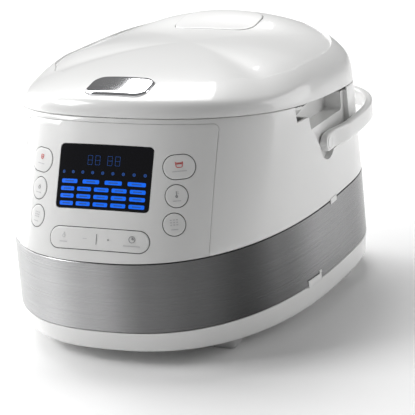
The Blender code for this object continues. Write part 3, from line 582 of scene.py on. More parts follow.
def panelTop(x, inset=0.0):
    half, corner = panelShape["half"] - inset, panelShape["corner"]
    past = max(0.0, abs(x) - half + corner)
    drop = corner - sqrt(max(0.0, corner ** 2 - past ** 2))
    return seamHeight(panelY(x, 0.2)) - panelShape["below"] - inset - drop


def panelColumns(inset=0.0):
    half, corner = panelShape["half"] - inset, panelShape["corner"]
    bend = [half - corner * (1 - sin(pi / 2 * k / 10)) for k in range(11)][::-1]
    middle = [(half - corner) * (1 - 2 * k / 60) for k in range(1, 60)]
    return bend + middle + [-x for x in bend[::-1]]


def makeHousing():
    rings = [risingRing(0.0, 0.0006), risingRing(0.006)] + [risingRing(k / 14) for k in range(1, 14)]
    rings += [risingRing(1.0, 0.0, -0.0010), risingRing(1.0, 0.0002, -0.0004), risingRing(1.0, 0.0008)]
    housing = skinRings("housingShell", rings)
    inside = [risingRing(share, plan["wall"], 0.004) for share in (0.3, 0.5, 0.68, 0.85, 1.0)]
    cavity = skinRings("cavity", [risingRing(-0.02, plan["wall"])] + inside)
    floorX, gripX, outside, wall = recessShape["floorX"], recessShape["gripX"], recessShape["outside"], plan["wall"]
    for side in (1, -1):
        cut(cavity, sidePrism("keep", recessOutline(wall), side * (floorX - wall), side * outside))
        cut(cavity, sidePrism("keep", gripOutline(wall), side * (gripX - wall), side * outside))
    for side in (1, -1):
        cut(housing, sidePrism("recess", recessOutline(), side * floorX, side * outside))
        cut(housing, sidePrism("grip", gripOutline(), side * gripX, side * outside))
    cut(housing, cavity)
    outline = [(-panelShape["half"], plan["bandTop"] - 0.01), (panelShape["half"], plan["bandTop"] - 0.01)]
    outline += [(x, panelTop(x)) for x in panelColumns()]
    cut(housing, skinRings("opening", [[world(x, y, z) for x, z in outline] for y in (-0.075, -0.25)]))
    for side in (1, -1):
        low, high = sorted((side * 0.1100, side * 0.1408))
        cut(housing, box("clearance", world(low, -0.024, 0.1800), world(high, 0.094, 0.24)))
        disc = discOutline(handleShape["pinRadius"] + plan["gap"])
        cut(housing, prism("pinHole", disc, 0.120, 0.160, inFrame(pivotFrame(side))))
    softEdges(housing, 0.0004)
    settle(housing, finish["glossWhite"], ["upper_housing"])
    print("housing made:", len(housing.data.polygons))


def makeFascia():
    thickness = panelShape["thickness"]
    inset = panelShape["clearance"]
    build = bmesh.new()
    columns = panelColumns(inset)
    rows = 26
    low = plan["bandTop"] + plan["gap"] * 2
    sheets = []
    for back, shrink in ((0.0, 0.0003), (0.0004, 0.0), (thickness, 0.0)):
        sheet = []
        for x in columns:
            small = x * (1 - shrink / panelShape["half"])
            top = panelTop(x, inset) - shrink
            sheet.append([build.verts.new(world(small, panelY(small, z) + back, z))
                          for z in [mix(low, top, j / rows) for j in range(rows + 1)]])
        sheets.append(sheet)
    count = len(columns)
    for sheet in (sheets[0], sheets[2]):
        for i in range(count - 1):
            for j in range(rows):
                build.faces.new((sheet[i][j], sheet[i + 1][j], sheet[i + 1][j + 1], sheet[i][j + 1]))
    border = [(i, 0) for i in range(count)] + [(count - 1, j) for j in range(1, rows + 1)]
    border += [(i, rows) for i in range(count - 2, -1, -1)] + [(0, j) for j in range(rows - 1, 0, -1)]
    for front, back in zip(sheets, sheets[1:]):
        for k in range(len(border)):
            (a, b), (c, d) = border[k], border[k - 1]
            build.faces.new((front[a][b], front[c][d], back[c][d], back[a][b]))
    for i in range(count):
        for j in range(1, rows):
            if 0 < i < count - 1:
                build.verts.remove(sheets[1][i][j])
    bmesh.ops.recalc_face_normals(build, faces=build.faces)
    fascia = newPiece("fasciaPlate", build)
    windowPlace = inFrame(panelFrame(0, panelShape["windowZ"]))
    cut(fascia, prism("windowHole", roundedBox(*panelShape["window"], 0.004), -0.03, 0.03, windowPlace))
    room = 2 * panelShape["clearance"]
    for name, place, (width, height), _ in keyPlaces():
        low, high = (-0.022, 0.02) if name == "timer_bar_key" else (-0.010, 0.012)
        hole = roundedBox(width + room, height + room, height / 2 + 0.0003, 16)
        cut(fascia, prism("keyHole", hole, low, high, inFrame(place)))
    settle(fascia, finish["glossWhite"], ["control_fascia"])
    print("fascia made:", len(fascia.data.polygons))


glassProfile = [(0.0003, -0.0020), (0.0, -0.0016), (0.0, -0.0006), (0.0004, -0.0002)]


def makeWindow():
    put = onPanel(panelFrame(0, panelShape["windowZ"]))
    width, height = panelShape["window"]
    glass = pad("displayGlass", put, (width - 0.0006, height - 0.0006, 0.0038),
                glassProfile, 48, 16)
    settle(glass, finish["displayBlack"], ["display_window"])


# inset from the edge and height above the panel
keyProfile = [(0.0008, -0.0030), (0.00045, -0.0025), (0.00035, 0.0), (0.0006, 0.0003), (0.0012, 0.0004)]
# profile of the dark lining that paints shade into the gap round each key
shadeLiningProfile = [(0.0, -0.0032), (0.0, -0.0031), (0.0, -0.00032), (0.0, -0.0003)]


def makeKeyShadeLining(name, put, width, height, columns):
    size = (width + 0.0005, height + 0.0005, height / 2 + 0.0002)  # painted shade: a dark piece lining the gap round the key
    keyGapShade = pad(name + "_skirt", put, size, shadeLiningProfile, columns, 12, 16)
    settle(keyGapShade, finish["darkPlasticAndShade"], body=bodyOf[name])


def makeKeys():
    for name, place, (width, height), columns in keyPlaces():
        put = onPanel(place)
        size = (width, height, height / 2 - 0.00002)
        key = pad(name.replace("bar_key", "bar") + "_cap", put, size, keyProfile, columns, 12, 16)
        settle(key, finish["glossWhite"], [name])
        makeKeyShadeLining(name, put, width, height, columns)
    print("keys made: 7")


def lidRing(zone, part, sink=0.0, inset=0.0, drop=0.0, count=240):
    ring = []
    for angle in anglesFor(count):
        x, y, _ = seamPoint(angle, inset, seam["split"])
        turn = turnOf(x, y)
        crease = lookUp(lidShape["creaseAt"], turn)
        share = 1 - part * (1 - crease) if zone == "rim" else crease * (1 - part)
        x, y = x * share, plan["widestY"] + (y - plan["widestY"]) * share
        ring.append(world(x, y, skinHeight(x, y, share, turn, sink) - drop))
    return ring


buttonShape = {"size": (0.061, 0.033), "radius": 0.0115, "y": -0.0955, "crown": 0.0012, "gap": 0.0005}
ventShape = {"size": (0.084, 0.048), "radius": 0.0175, "y": 0.120, "gap": 0.0005}


def buttonFrame():
    y = buttonShape["y"]
    slope = (lidHeight(0.0, y + 0.010) - lidHeight(0.0, y - 0.010)) / 0.020
    turned = Matrix.Rotation(atan2(slope, 1.0), 4, "X")
    turned.translation = world(0, y, lidHeight(0.0, y))
    return turned


def gapOutline(shape):
    gap = shape["gap"]
    width, height = shape["size"]
    return roundedBox(width + 2 * gap, height + 2 * gap, shape["radius"] + gap, 16)


def makeLid():
    rimParts = (0.004, 0.012, 0.03, 0.06, 0.10, 0.16, 0.24, 0.34, 0.45, 0.57, 0.69, 0.80, 0.90, 0.955, 0.985)
    topParts = (0.0, 0.0012, 0.0034, 0.0057, 0.0085, 0.014, 0.025, 0.05, 0.09, 0.14, 0.20, 0.27, 0.35, 0.44, 0.54,
                0.65, 0.76, 0.87, 0.96, 0.99)
    outer = [lidRing("rim", 0.0, 0.0, 0.0006), lidRing("rim", 0.0, 0.0, 0.0, -0.0005)]
    outer += [lidRing("rim", part) for part in rimParts] + [lidRing("top", part) for part in topParts]
    wall, drop = plan["wall"], 0.0015
    inner = [lidRing("rim", 0.0, wall, wall)]
    inner += [lidRing("rim", part, wall, wall, drop) for part in (0.05, 0.2, 0.5, 1.0)]
    inner += [lidRing("top", part, wall, wall, drop) for part in (0.02, 0.15, 0.4, 0.7, 0.99)]
    lid = skinRings("lidShell", outer[::-1] + inner)
    cut(lid, prism("buttonHole", gapOutline(buttonShape), -0.02, 0.03, inFrame(buttonFrame())))
    cut(lid, prism("ventHole", gapOutline(ventShape), 0.205, 0.28,
                   lambda u, v, lift: world(u, ventShape["y"] + v, lift)))
    settle(lid, finish["glossWhite"], ["lid_shell"], sharp=30)
    print("lid made:", len(lid.data.polygons))


# inset from the edge and height above the lid
buttonProfile = [(0.0004, -0.0045), (0.0, -0.0041), (0.0, -0.0010), (0.0003, -0.0003), (0.0010, 0.0002),
                 (0.0022, 0.0005)]
# profile of the dark plate that paints shade into the gap round the button
buttonShadeProfile = [(0.0, -0.0088), (0.0, -0.0078)]
ventProfile = [(0.0010, -0.0022), (0.0004, -0.0018), (0.0, -0.0010), (0.0, 0.0003), (0.0004, 0.0007),
               (0.0012, 0.0008)]


def makeButtonAndVent():
    place = buttonFrame()
    width, height = buttonShape["size"]

    def crowned(u, v, lift):
        rise = buttonShape["crown"] * (1 - (2 * u / width) ** 2) if lift > 0 else 0.0
        return place @ Vector((u, v, lift + rise))
    button = pad("releaseButton", crowned, (width, height, buttonShape["radius"]),
                 buttonProfile, 36, 12, 16)
    settle(button, finish["mirrorChrome"], ["release_button"], sharp=60)
    # painted shade: a dark plate under the button, so the gap round it reads dark
    well = pad("buttonShadePlate", inFrame(place), (width + 0.0008, height + 0.0008, buttonShape["radius"]),
               buttonShadeProfile, 12, 4, 12)
    settle(well, finish["darkPlasticAndShade"], body="lid")
    width, height = ventShape["size"]
    vent = pad("steamVent", onLid(0.0, ventShape["y"]), (width, height, ventShape["radius"]),
               ventProfile, 40, 24, 12)
    settle(vent, finish["glossWhite"], ["vent_cap"], sharp=50)
    print("button and vent made")


bandShape = {"edge": 0.0003, "thickness": 0.0009,
             "inlet": ((0.0425, 0.15, 0.0385), (0.0775, 0.19, 0.0715))}  # corners of the opening for the mains socket


def makeBand():
    low, high = plan["bandBottom"] + plan["gap"], plan["bandTop"] - plan["gap"]
    edge, thickness = bandShape["edge"], bandShape["thickness"]
    rings = [levelRing(low, edge, 360), levelRing(low + edge, 0.0, 360)]
    rings += [levelRing(mix(low, high, k / 8), 0.0, 360) for k in range(1, 8)]
    rings += [levelRing(high - edge, 0.0, 360), levelRing(high, edge, 360), levelRing(high, thickness, 360),
              levelRing(low, thickness, 360)]
    band = skinRings("steelBand", rings, loop=True)
    cut(band, box("inletCut", *(world(*corner) for corner in bandShape["inlet"])))
    settle(band, finish["brushedBand"], ["steel_band"])
    print("band made")


# small moulded details on both sides, and a dark strip painted as the shadow under the base's step: first and last
# plan angle, low and high edge, how proud, finish, slot
sideTabs = {"baseStep": (-17.1, -11.1, 0.0262, 0.0332, 0.0007, "glossWhite", "gloss_white_plastic"),
            # stepShadow is painted shadow: a dark strip under the base's step
            "stepShadow": (-17.4, -10.7, 0.0334, 0.0345, 0.0002, "darkPlasticAndShade", "black_plastic"),
            "stepHook": (-11.9, -10.9, 0.0334, 0.0362, 0.0007, "glossWhite", "gloss_white_plastic"),
            "bandTab": (-4.4, -1.9, 0.0888, 0.0940, 0.0007, "glossWhite", "gloss_white_plastic")}
tabRoot = 0.0006  # how far a tab reaches into the side


def makeSideTabs():
    for name, (first, last, low, high, proud, look, slot) in sideTabs.items():
        for side, word in ((1, "Right"), (-1, "Left")):
            build = bmesh.new()
            rings = []
            for k in range(9):
                ring = []
                for z, inset in ((low, tabRoot), (low, -proud), (high, -proud), (high, tabRoot)):
                    x, y = planPoint(radians(mix(first, last, k / 8)), bodySize(z), inset)
                    ring.append(build.verts.new(world(side * x, y, z)))
                rings.append(ring)
            for ring, after in zip(rings, rings[1:]):
                for k in range(4):
                    build.faces.new((ring[k], ring[k - 1], after[k - 1], after[k]))
            build.faces.new(rings[0])
            build.faces.new(rings[-1][::-1])
            bmesh.ops.recalc_face_normals(build, faces=build.faces)
            tab = softEdges(newPiece(name + word, build), 0.0003)
            settle(tab, finish[look], body="body")
    print("side tabs made:", 2 * len(sideTabs))


baseShape = {"slots": 9, "slotStep": 0.016, "slotSize": (0.004, 0.060), "slotY": 0.105,
             "feet": {"front_right_foot": (0.086, -0.102), "front_left_foot": (-0.086, -0.102),
                      "rear_right_foot": (0.120, 0.086), "rear_left_foot": (-0.120, 0.086)},
             "footSize": (0.022, 0.020, 0.004)}
footProfile = [(0.0012, -0.0060), (0.0003, -0.0057), (0.0, -0.0050), (0.0, 0.0050), (0.0004, 0.0057)]


def makeBase():
    bottom, top, wall = plan["baseBottom"], plan["bandBottom"] - plan["gap"], plan["wall"]
    outer = [levelRing(bottom, 0.0050), levelRing(bottom + 0.0003, 0.0030), levelRing(bottom + 0.0012, 0.0012),
             levelRing(bottom + 0.0026, 0.0003), levelRing(bottom + 0.0045)]
    outer += [levelRing(mix(bottom + 0.0045, top - 0.0004, k / 5)) for k in range(1, 6)] + [levelRing(top, 0.0004)]
    inner = [levelRing(top, wall), levelRing(bottom + wall, wall + 0.003)]
    tray = skinRings("baseTray", outer + inner)
    for k in range(baseShape["slots"]):  # air slots in the floor
        x, y = (k - (baseShape["slots"] - 1) / 2) * baseShape["slotStep"], baseShape["slotY"]
        slot = roundedBox(*baseShape["slotSize"], 0.00198, 6)
        cut(tray, prism("slot", slot, 0.0, 0.02, lambda u, v, lift: world(x + u, y + v, lift)))
    settle(tray, finish["glossWhite"], ["base_tray"])
    for name, (x, y) in baseShape["feet"].items():
        foot = pad(name + "_pad", lambda u, v, lift: world(x + u, y + v, lift), baseShape["footSize"],
                   footProfile, 6, 4, 8)
        settle(foot, finish["footGrey"], [name])
    print("base and feet made")


def handlePath():
    y0 = handleShape["pivotY"]
    ahead = handleShape["height"] / 2
    right = [(handleShape["endX"], y0 - ahead * cos(pi / 2 * k / 8)) for k in range(9)]
    for k in range(1, 13):
        y = y0 + 0.045 * k / 12
        right.append((mix(handleShape["endX"], handleShape["armX"], smooth((y - y0 - 0.008) / 0.030)), y))
    start, rear, steps = 0.085, handleShape["rear"] - handleShape["thickness"], 40
    for k in range(steps + 1):
        a = pi / 2 * k / steps
        x = handleShape["armX"] * cos(a) ** (2 / 2.9) if k < steps else 0.0
        right.append((x, start + (rear - start) * sin(a) ** (2 / 2.9)))
    return right + [(-x, y) for x, y in right[-2::-1]]


def makeHandle():
    path = handlePath()
    z, full, t, edge = (handleShape[key] for key in ("pivotZ", "height", "thickness", "edge"))
    y0 = handleShape["pivotY"]
    rings = []
    for k, (x, y) in enumerate(path):
        before, after = path[max(k - 1, 0)], path[min(k + 1, len(path) - 1)]
        dx, dy = after[0] - before[0], after[1] - before[1]
        length = max(hypot(dx, dy), 0.00001)
        nx, ny = dy / length, -dx / length
        half = full / 2
        if y < y0:
            half = max(sqrt(max(half ** 2 - (y0 - y) ** 2, 0.0)), 0.0004)
        r = min(edge, half * 0.9)
        section = []
        for sx, sz, begin in ((1, 1, 0), (0, 1, 90), (0, -1, 180), (1, -1, 270)):
            for step in range(6):
                a = radians(begin + 90 * step / 5)
                section.append(((t - r if sx else r) + r * cos(a), sz * (half - r) + r * sin(a)))
        rings.append([world(x + nx * across, y + ny * across, z + up) for across, up in section])
    handle = skinRings("carryHandle", rings)
    settle(handle, finish["glossWhite"], ["carry_handle"], sharp=50)
    for side, word in ((1, "right"), (-1, "left")):
        shell = handleShape["endX"] + t
        profile = [(0.0, 0.0), (0.0052, 0.0), (0.0055, 0.00015), (0.0055, -0.0008), (0.0, -0.0008)]
        cap = spun("cap", profile, (0, 0), 48, loop=False)
        cap.data.transform(pivotFrame(side) @ Matrix.Translation((0, 0, shell + 0.0002)))
        cap.name = word + "PivotCap"
        settle(cap, finish["glossWhite"], body="handle")
    print("handle made")


def strokeMesh(name, put, strokes, lift=0.00012):
    build = bmesh.new()
    for closed, width, corners in strokes:
        points = [corners[0]]
        for a, b in zip(corners, corners[1:]):
            parts = int(hypot(b[0] - a[0], b[1] - a[1]) / 0.0012) + 1
            points += [(mix(a[0], b[0], k / parts), mix(a[1], b[1], k / parts)) for k in range(1, parts + 1)]
        count = len(points)
        sides = []
        for i, (u, v) in enumerate(points):
            before = points[i - 1] if closed or i else points[i]
            after = points[(i + 1) % count] if closed or i < count - 1 else points[i]
            du, dv = after[0] - before[0], after[1] - before[1]
            length = max(hypot(du, dv), 0.000001)
            nu, nv = -dv / length * width / 2, du / length * width / 2
            sides.append([build.verts.new(put(u + s * nu, v + s * nv, level))
                          for s, level in ((1, lift), (-1, lift), (-1, 0.0), (1, 0.0))])
        pairs = list(zip(sides, sides[1:])) + ([(sides[-1], sides[0])] if closed else [])
        for a, b in pairs:
            for k in range(4):
                build.faces.new((a[k], a[(k + 1) % 4], b[(k + 1) % 4], b[k]))
        if not closed:
            build.faces.new(sides[0])
            build.faces.new(sides[-1])
    bmesh.ops.recalc_face_normals(build, faces=build.faces)
    return newPiece(name, build)


def arc(cu, cv, radius, begin, end, steps=20):
    turns = [radians(mix(begin, end, k / steps)) for k in range(steps + 1)]
    return [(cu + radius * cos(turn), cv + radius * sin(turn)) for turn in turns]


def ringStroke(cu, cv, radius, width):
    return (True, width, arc(cu, cv, radius, 0, 345, 23))


def moved(strokes, du, dv, size=1.0):
    return [(closed, width, [(du + u * size, dv + v * size) for u, v in points]) for closed, width, points in strokes]


# printed signs, metres, each round its own middle: closed or open, width, points
signs = {
    "pot": [(False, 0.0006, [(-0.0026, 0.0017), (-0.0021, -0.0015), (-0.0014, -0.0021), (0.0014, -0.0021),
                            (0.0021, -0.0015), (0.0026, 0.0017)]),
            (False, 0.0006, [(-0.0020, 0.0003), (0.0020, 0.0003)]),
            (False, 0.0005, [(-0.0026, 0.0017), (-0.0017, 0.0010), (0.0017, 0.0010), (0.0026, 0.0017)])],
    "bowl": [(False, 0.0007, [(-0.0014, 0.0018), (-0.0016, -0.0004), (-0.0009, -0.0018), (0.0009, -0.0018),
                             (0.0016, -0.0004), (0.0014, 0.0018)]),
             (False, 0.0005, [(-0.0012, 0.0018), (0.0012, 0.0018)]), (False, 0.0007, [(-0.0009, 0.0), (0.0009, 0.0)])],
    "flame": [(True, 0.0005, arc(0.0, -0.0006, 0.0011, 0, 340, 16)),
              (False, 0.0005, [(0.0, 0.0006), (0.0003, 0.0019)])],
    "thermometer": [(False, 0.0007, [(0.0, 0.0026), (0.0, -0.0008)]),
                    (True, 0.0009, arc(0.0, -0.0016, 0.0007, 0, 330, 12)),
                    (False, 0.0004, [(0.0010, 0.0020), (0.0017, 0.0020)]),
                    (False, 0.0004, [(0.0010, 0.0008), (0.0017, 0.0008)])],
    "grid": [(False, 0.0009, [(-0.0022 + 0.0022 * k - 0.0007, 0.0018 - 0.0018 * j), (-0.0022 + 0.0022 * k + 0.0007,
             0.0018 - 0.0018 * j)]) for k in range(3) for j in range(3)],
    "clock": [(True, 0.0005, arc(0.0, 0.0, 0.0024, 0, 345, 23)), (False, 0.0006, [(0.0, 0.0020), (0.0, 0.0)]),
              (False, 0.0006, [(0.0, 0.0), (0.0017, 0.0)]), (False, 0.0009, [(0.0004, 0.0013), (0.0013, 0.0004)])],
    "play": [(False, 0.0014, [(-0.0006, 0.0), (0.0001, 0.0)]), (False, 0.0007, [(-0.0001, 0.0), (0.0007, 0.0)])],
    "minus": [(False, 0.0004, [(-0.0016, 0.0), (0.0016, 0.0)])],
    "divider": [(False, 0.0006, [(0.0, 0.0047), (0.0, -0.0047)])],
    "underline": [(False, 0.0007, [(-0.0040, 0.0), (0.0040, 0.0)])],
}


# sign, ink, place across and up, size
keySigns = {
    "left_upper_key": (("bowl", "printRed", 0.0, 0.0028, 1.0), ("underline", "printPale", 0.0, -0.0034, 1.1)),
    "right_upper_key": (("pot", "printRed", 0.0, 0.0022, 1.25), ("underline", "printPale", 0.0, -0.0038, 1.6)),
    "left_middle_key": (("flame", "printGrey", 0.0, 0.0014, 1.1), ("underline", "printPale", 0.0, -0.0038, 0.9)),
    "right_middle_key": (("thermometer", "printGrey", 0.0, 0.0014, 1.1),
                         ("underline", "printPale", 0.0, -0.0042, 0.9)),
    "left_lower_key": (("grid", "printPale", 0.0, 0.0014, 1.1), ("underline", "printPale", 0.0, -0.0046, 0.8)),
    "right_lower_key": (("grid", "printPale", 0.0, 0.0018, 1.2), ("underline", "printPale", 0.0, -0.0044, 0.8)),
    "timer_bar_key": (("clock", "printGrey", 0.0335, 0.0018, 1.15), ("underline", "printPale", 0.0335, -0.0040, 1.9),
                      ("divider", "printGrey", 0.0, 0.0, 1.0), ("play", "printGrey", 0.0115, 0.0, 1.3),
                      ("minus", "printPale", -0.0115, 0.0, 1.2), ("flame", "printPale", -0.0335, 0.0022, 1.2),
                      ("underline", "printPale", -0.0335, -0.0036, 1.0))}


def makeSigns():
    top = panelShape["proud"] - 0.00004
    where = {name: place for name, place, _, _ in keyPlaces()}
    for key, marks in keySigns.items():
        surface = onPanel(where[key])
        for number, (sign, ink, u, v, size) in enumerate(marks):
            mark = strokeMesh(f"{key}_sign_{number}", lambda a, b, lift: surface(a, b, top + lift),
                              moved(signs[sign], u, v, size))
            settle(mark, finish[ink], body=key)
    print("key signs made")


def groupInput(tree, name, kind, value):
    socket = tree.interface.new_socket(name=name, in_out="INPUT", socket_type=kind)
    socket.default_value = value
    return socket.identifier


def pillTree(material):
    tree = bpy.data.node_groups.new("pillRows", "GeometryNodeTree")
    names = {}
    for name, kind, value in (("Columns", "NodeSocketInt", 5), ("Rows", "NodeSocketInt", 3),
                              ("Width", "NodeSocketFloat", 0.06), ("Height", "NodeSocketFloat", 0.02),
                              ("Pill Width", "NodeSocketFloat", 0.014), ("Pill Height", "NodeSocketFloat", 0.003),
                              ("Thickness", "NodeSocketFloat", 0.0001)):
        names[name] = groupInput(tree, name, kind, value)
    tree.interface.new_socket(name="Geometry", in_out="OUTPUT", socket_type="NodeSocketGeometry")
    link = tree.links.new
    given = addNode(tree, "NodeGroupInput")
    grid = addNode(tree, "GeometryNodeMeshGrid")
    link(given.outputs["Width"], grid.inputs["Size X"])
    link(given.outputs["Height"], grid.inputs["Size Y"])
    link(given.outputs["Columns"], grid.inputs["Vertices X"])
    link(given.outputs["Rows"], grid.inputs["Vertices Y"])
    outline = addNode(tree, "GeometryNodeCurvePrimitiveQuadrilateral")
    link(given.outputs["Pill Width"], outline.inputs["Width"])
    link(given.outputs["Pill Height"], outline.inputs["Height"])
    radius = addNode(tree, "ShaderNodeMath", operation="MULTIPLY")
    radius.inputs[1].default_value = 0.30
    link(given.outputs["Pill Height"], radius.inputs[0])
    fillet = addNode(tree, "GeometryNodeFilletCurve")
    fillet.mode = "POLY"
    fillet.inputs["Count"].default_value = 4
    link(outline.outputs["Curve"], fillet.inputs["Curve"])
    link(radius.outputs[0], fillet.inputs["Radius"])
    fill = addNode(tree, "GeometryNodeFillCurve")
    link(fillet.outputs["Curve"], fill.inputs["Curve"])
    finer = addNode(tree, "GeometryNodeSubdivideMesh")
    finer.inputs["Level"].default_value = 2
    link(fill.outputs["Mesh"], finer.inputs["Mesh"])
    raised = addNode(tree, "GeometryNodeExtrudeMesh")
    raised.inputs["Individual"].default_value = False
    link(finer.outputs["Mesh"], raised.inputs["Mesh"])
    link(given.outputs["Thickness"], raised.inputs["Offset Scale"])
    copies = addNode(tree, "GeometryNodeInstanceOnPoints")
    link(grid.outputs["Mesh"], copies.inputs["Points"])
    link(raised.outputs["Mesh"], copies.inputs["Instance"])
    real = addNode(tree, "GeometryNodeRealizeInstances")
    link(copies.outputs["Instances"], real.inputs["Geometry"])
    paint = addNode(tree, "GeometryNodeSetMaterial")
    paint.inputs["Material"].default_value = material
    link(real.outputs["Geometry"], paint.inputs["Geometry"])
    result = addNode(tree, "NodeGroupOutput")
    link(paint.outputs["Geometry"], result.inputs["Geometry"])
    return tree, names


def makePills(name, tree, names, values, middle, put, material, lift):
    piece = bpy.data.objects.new(name, bpy.data.meshes.new(name))
    bpy.context.scene.collection.objects.link(piece)
    rows = piece.modifiers.new("rows", "NODES")
    rows.node_group = tree
    for key, value in values.items():
        rows[names[key]] = value
    bake(piece)
    for vertex in piece.data.vertices:
        u, v, level = vertex.co
        vertex.co = put(middle[0] + u, middle[1] + v, lift + level)
    settle(piece, material, body="body")


displayShape = {"lift": -0.00026, "width": 0.092, "height": 0.0575, "iconRow": 0.062, "clockRow": 0.2525,
                "digits": (-0.0135, -0.0060, 0.0060, 0.0135), "digitSize": (0.0022, 0.0040)}
# columns, rows, spread across and up, one pill's width and height, thickness, middle's height, finish
pillRows = {"fourPills": (4, 1, 0.0660, 0.0, 0.0165, 0.0036, 0.00012, -0.080, "litBlue"),
            "fifteenPills": (5, 3, 0.0690, 0.226, 0.0142, 0.0036, 0.00012, -0.307, "litBlue"),
            "pillMarks": (5, 3, 0.0690, 0.226, 0.0080, 0.0011, 0.00016, -0.307, "dimBlue"),
            "fourMarks": (4, 1, 0.0660, 0.0, 0.0090, 0.0011, 0.00016, -0.080, "dimBlue")}


def makeDisplay():
    put = onPanel(panelFrame(0, panelShape["windowZ"]))
    width, height, lift = (displayShape[key] for key in ("width", "height", "lift"))
    tree, names = pillTree(finish["litBlue"])
    for name, (columns, rows, across, up, wide, tall, thickness, middle, look) in pillRows.items():
        values = {"Columns": columns, "Rows": rows, "Width": across, "Height": up * height,
                  "Pill Width": wide, "Pill Height": tall, "Thickness": thickness}
        makePills(name, tree, names, values, (0.0, middle * height), put, finish[look], lift)
    strokes = []
    icons = displayShape["iconRow"] * height
    for k in range(9):
        u = (-0.434 + 0.1085 * k) * width
        strokes.append(ringStroke(u, icons, 0.0011, 0.0005))
        strokes.append((False, 0.0005, [(u - 0.0006, icons), (u + 0.0006, icons)]))
    (w, h), cv = displayShape["digitSize"], displayShape["clockRow"] * height
    for middle in displayShape["digits"]:
        for a, b in (((-w, h), (w, h)), ((-w, 0), (w, 0)), ((-w, -h), (w, -h)), ((-w, h), (-w, 0)), ((w, h), (w, 0)),
                     ((-w, 0), (-w, -h)), ((w, 0), (w, -h))):
            for step in range(4):  # dotted segments
                t0, t1 = (step + 0.2) / 4, (step + 0.7) / 4
                strokes.append((False, 0.0004, [(middle + mix(a[0], b[0], t0), cv + mix(a[1], b[1], t0)),
                                                (middle + mix(a[0], b[0], t1), cv + mix(a[1], b[1], t1))]))
    shown = strokeMesh("clockAndSigns", lambda u, v, level: put(u, v, lift + level), strokes)
    settle(shown, finish["dimBlue"], body="body")
    print("display made")


potShape = {"radius": 0.1080, "wall": 0.0015, "bottom": 0.0545, "rim": 0.1770, "corner": 0.020,
            "marks": (0.092, 0.106, 0.120, 0.134, 0.148)}
# radius and height
plateOutline = [(0.0001, 0.1800), (0.1050, 0.1800), (0.1075, 0.1785), (0.1075, 0.1775), (0.1060, 0.1782),
                (0.0900, 0.1790), (0.0890, 0.1782), (0.0800, 0.1782), (0.0790, 0.1790), (0.0001, 0.1788)]
sealOutline = [(0.1078, 0.1773), (0.1084, 0.1768), (0.1124, 0.1768), (0.1130, 0.1773), (0.1145, 0.1785),
               (0.1147, 0.1800), (0.1145, 0.1812), (0.1078, 0.1812)]


def makeInside():
    centre = tuple(world(0, 0.020, 0))[:2]
    raised = plan["lift"]

    def turnedPiece(name, profile, material, node, sides=128, loop=True):
        piece = spun(name, [(r, z + raised) for r, z in profile], centre, sides, loop)
        return settle(piece, finish[material], [node])

    r, wall, low, rim, corner = (potShape[key] for key in ("radius", "wall", "bottom", "rim", "corner"))
    bend = [radians(90 * k / 12) for k in range(13)]
    outer = [(0.0001, low)] + [(r - corner + corner * sin(a), low + corner - corner * cos(a)) for a in bend]
    inner = [(0.0001, low + wall)] + [(r - corner + (corner - wall) * sin(a), low + corner - (corner - wall) * cos(a))
                                      for a in bend]
    marks = []
    for level in potShape["marks"]:
        marks += [(r - wall, level - 0.0006), (r - wall - 0.0003, level - 0.0003), (r - wall - 0.0003, level + 0.0003),
                  (r - wall, level + 0.0006)]
    lip = [(r, rim - 0.0035), (0.1152, rim - 0.0035), (0.1159, rim - 0.0030), (0.1158, rim - 0.0022),
           (0.1100, rim - 0.0003), (r - wall + 0.001, rim), (r - wall, rim - 0.0008)]
    turnedPiece("innerPot", outer + lip + marks[::-1] + inner[::-1], "potCoating", "inner_pot", loop=False)
    turnedPiece("innerLidPlate", plateOutline, "satinAluminium", "inner_lid_plate", loop=False)
    turnedPiece("potSeal", sealOutline, "siliconeRubber", "pot_seal")
    for node in ("top_collar", "lid_liner", "steam_valve", "pot_well", "hinge_bracket", "lid_hinge_arm", "power_inlet",
                 "hinge_pin", "left_handle_pin", "right_handle_pin"):
        piece = mergedCopy(node, node + "_fine")
        if node not in ("top_collar", "lid_liner"):
            softEdges(piece, 0.0003, 2, 40)
        settle(piece, finish[nodeFinish(node)], [node], sharp=32)
    spring = mergedCopy("thermostat_spring", "thermostatSpring")  # the real spring shortens as its cap is pressed; here it is a merged copy with a mesh of its own
    settle(spring, finish["plainSteel"], ["thermostat_spring"])
    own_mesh(spring)
    print("inside made")


finishBySlot = {"gloss_white_plastic": "innerWhite", "grey_plastic": "footGrey", "black_gloss": "displayBlack",
                "black_plastic": "darkPlasticAndShade", "brushed_steel": "brushedBand", "plain_steel": "plainSteel",
                "chrome": "mirrorChrome", "aluminium": "satinAluminium", "cast_aluminium": "castAluminium",
                "pot_coating": "potCoating", "silicone": "siliconeRubber", "heater_band_mica": "micaWrap",
                "circuit_board": "boardGreen"}


def nodeFinish(node):
    return finishBySlot[slotOf[node]]


def paintNodes():
    for node, thing in nodes.items():
        for place in thing.material_slots:
            place.material = finish[nodeFinish(node)]


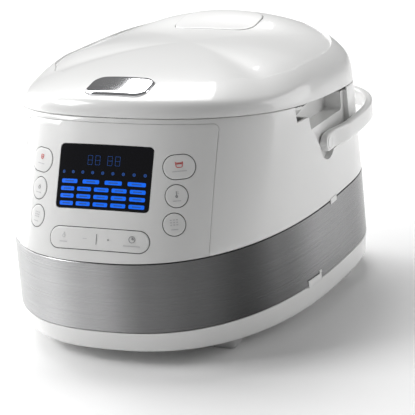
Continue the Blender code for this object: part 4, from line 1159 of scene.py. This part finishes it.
def makeStage():
    build = bmesh.new()
    bmesh.ops.create_grid(build, x_segments=8, y_segments=8, size=6.0)
    floor = newPiece("floor", build)
    floor.data.materials.append(finish["paleFloor"])
    scene = bpy.context.scene
    room = bpy.data.worlds.new("room")
    room.use_nodes = True
    room.node_tree.nodes["Background"].inputs["Color"].default_value = (1.0, 1.0, 1.0, 1.0)
    room.node_tree.nodes["Background"].inputs["Strength"].default_value = studio["room"]
    scene.world = room
    for name, (turn, distance, height, size, tall, power) in studio["lights"].items():
        light = bpy.data.lights.new(name, "AREA")
        light.shape = "RECTANGLE"
        light.size, light.size_y = size, tall
        light.energy = power
        lamp = bpy.data.objects.new(name, light)
        place = Vector((distance * sin(radians(turn)), -distance * cos(radians(turn)), height))
        lamp.location = place
        lamp.rotation_euler = (Vector((0, 0, 0.12)) - place).to_track_quat("-Z", "Y").to_euler()
        scene.collection.objects.link(lamp)
    scene.view_settings.view_transform = "Standard"


# turn round the object from the front towards +X in degrees, distance, height, width, length, watts
studio = {"room": 0.18,
          "lights": {"leftBox": (-105, 1.9, 0.70, 1.2, 1.3, 20), "rightBox": (122, 1.9, 0.60, 1.1, 1.3, 12),
                     "topBox": (-142, 1.15, 1.9, 1.5, 1.4, 37), "frontBox": (-66, 2.0, 1.55, 1.1, 1.1, 34)}}

cameraShape = {"place": (0.8467, -1.6874, 0.7110), "right": (0.9091, 0.4081, -0.0835), "up": (-0.0598, 0.3260, 0.9435),
               "lens": 181.607, "shift": (-0.0249, 0.0248)}


def makeCamera():
    right, up = Vector(cameraShape["right"]).normalized(), Vector(cameraShape["up"])
    back = right.cross(up).normalized()
    up = back.cross(right)
    turned = Matrix((right, up, back)).transposed().to_4x4()
    turned.translation = Vector(cameraShape["place"])
    lens = bpy.data.cameras.new("camera")
    lens.lens = cameraShape["lens"]
    lens.sensor_width = 36
    lens.shift_x, lens.shift_y = cameraShape["shift"]
    lens.clip_end = 50
    camera = bpy.data.objects.new("camera", lens)
    camera.matrix_world = turned
    bpy.context.scene.collection.objects.link(camera)
    bpy.context.scene.camera = camera


makeCamera()
makeStage()
paintNodes()
makeHousing()
makeFascia()
makeWindow()
makeKeys()
makeLid()
makeButtonAndVent()
makeBand()
makeSideTabs()
makeBase()
makeHandle()
makeSigns()
makeDisplay()
makeInside()
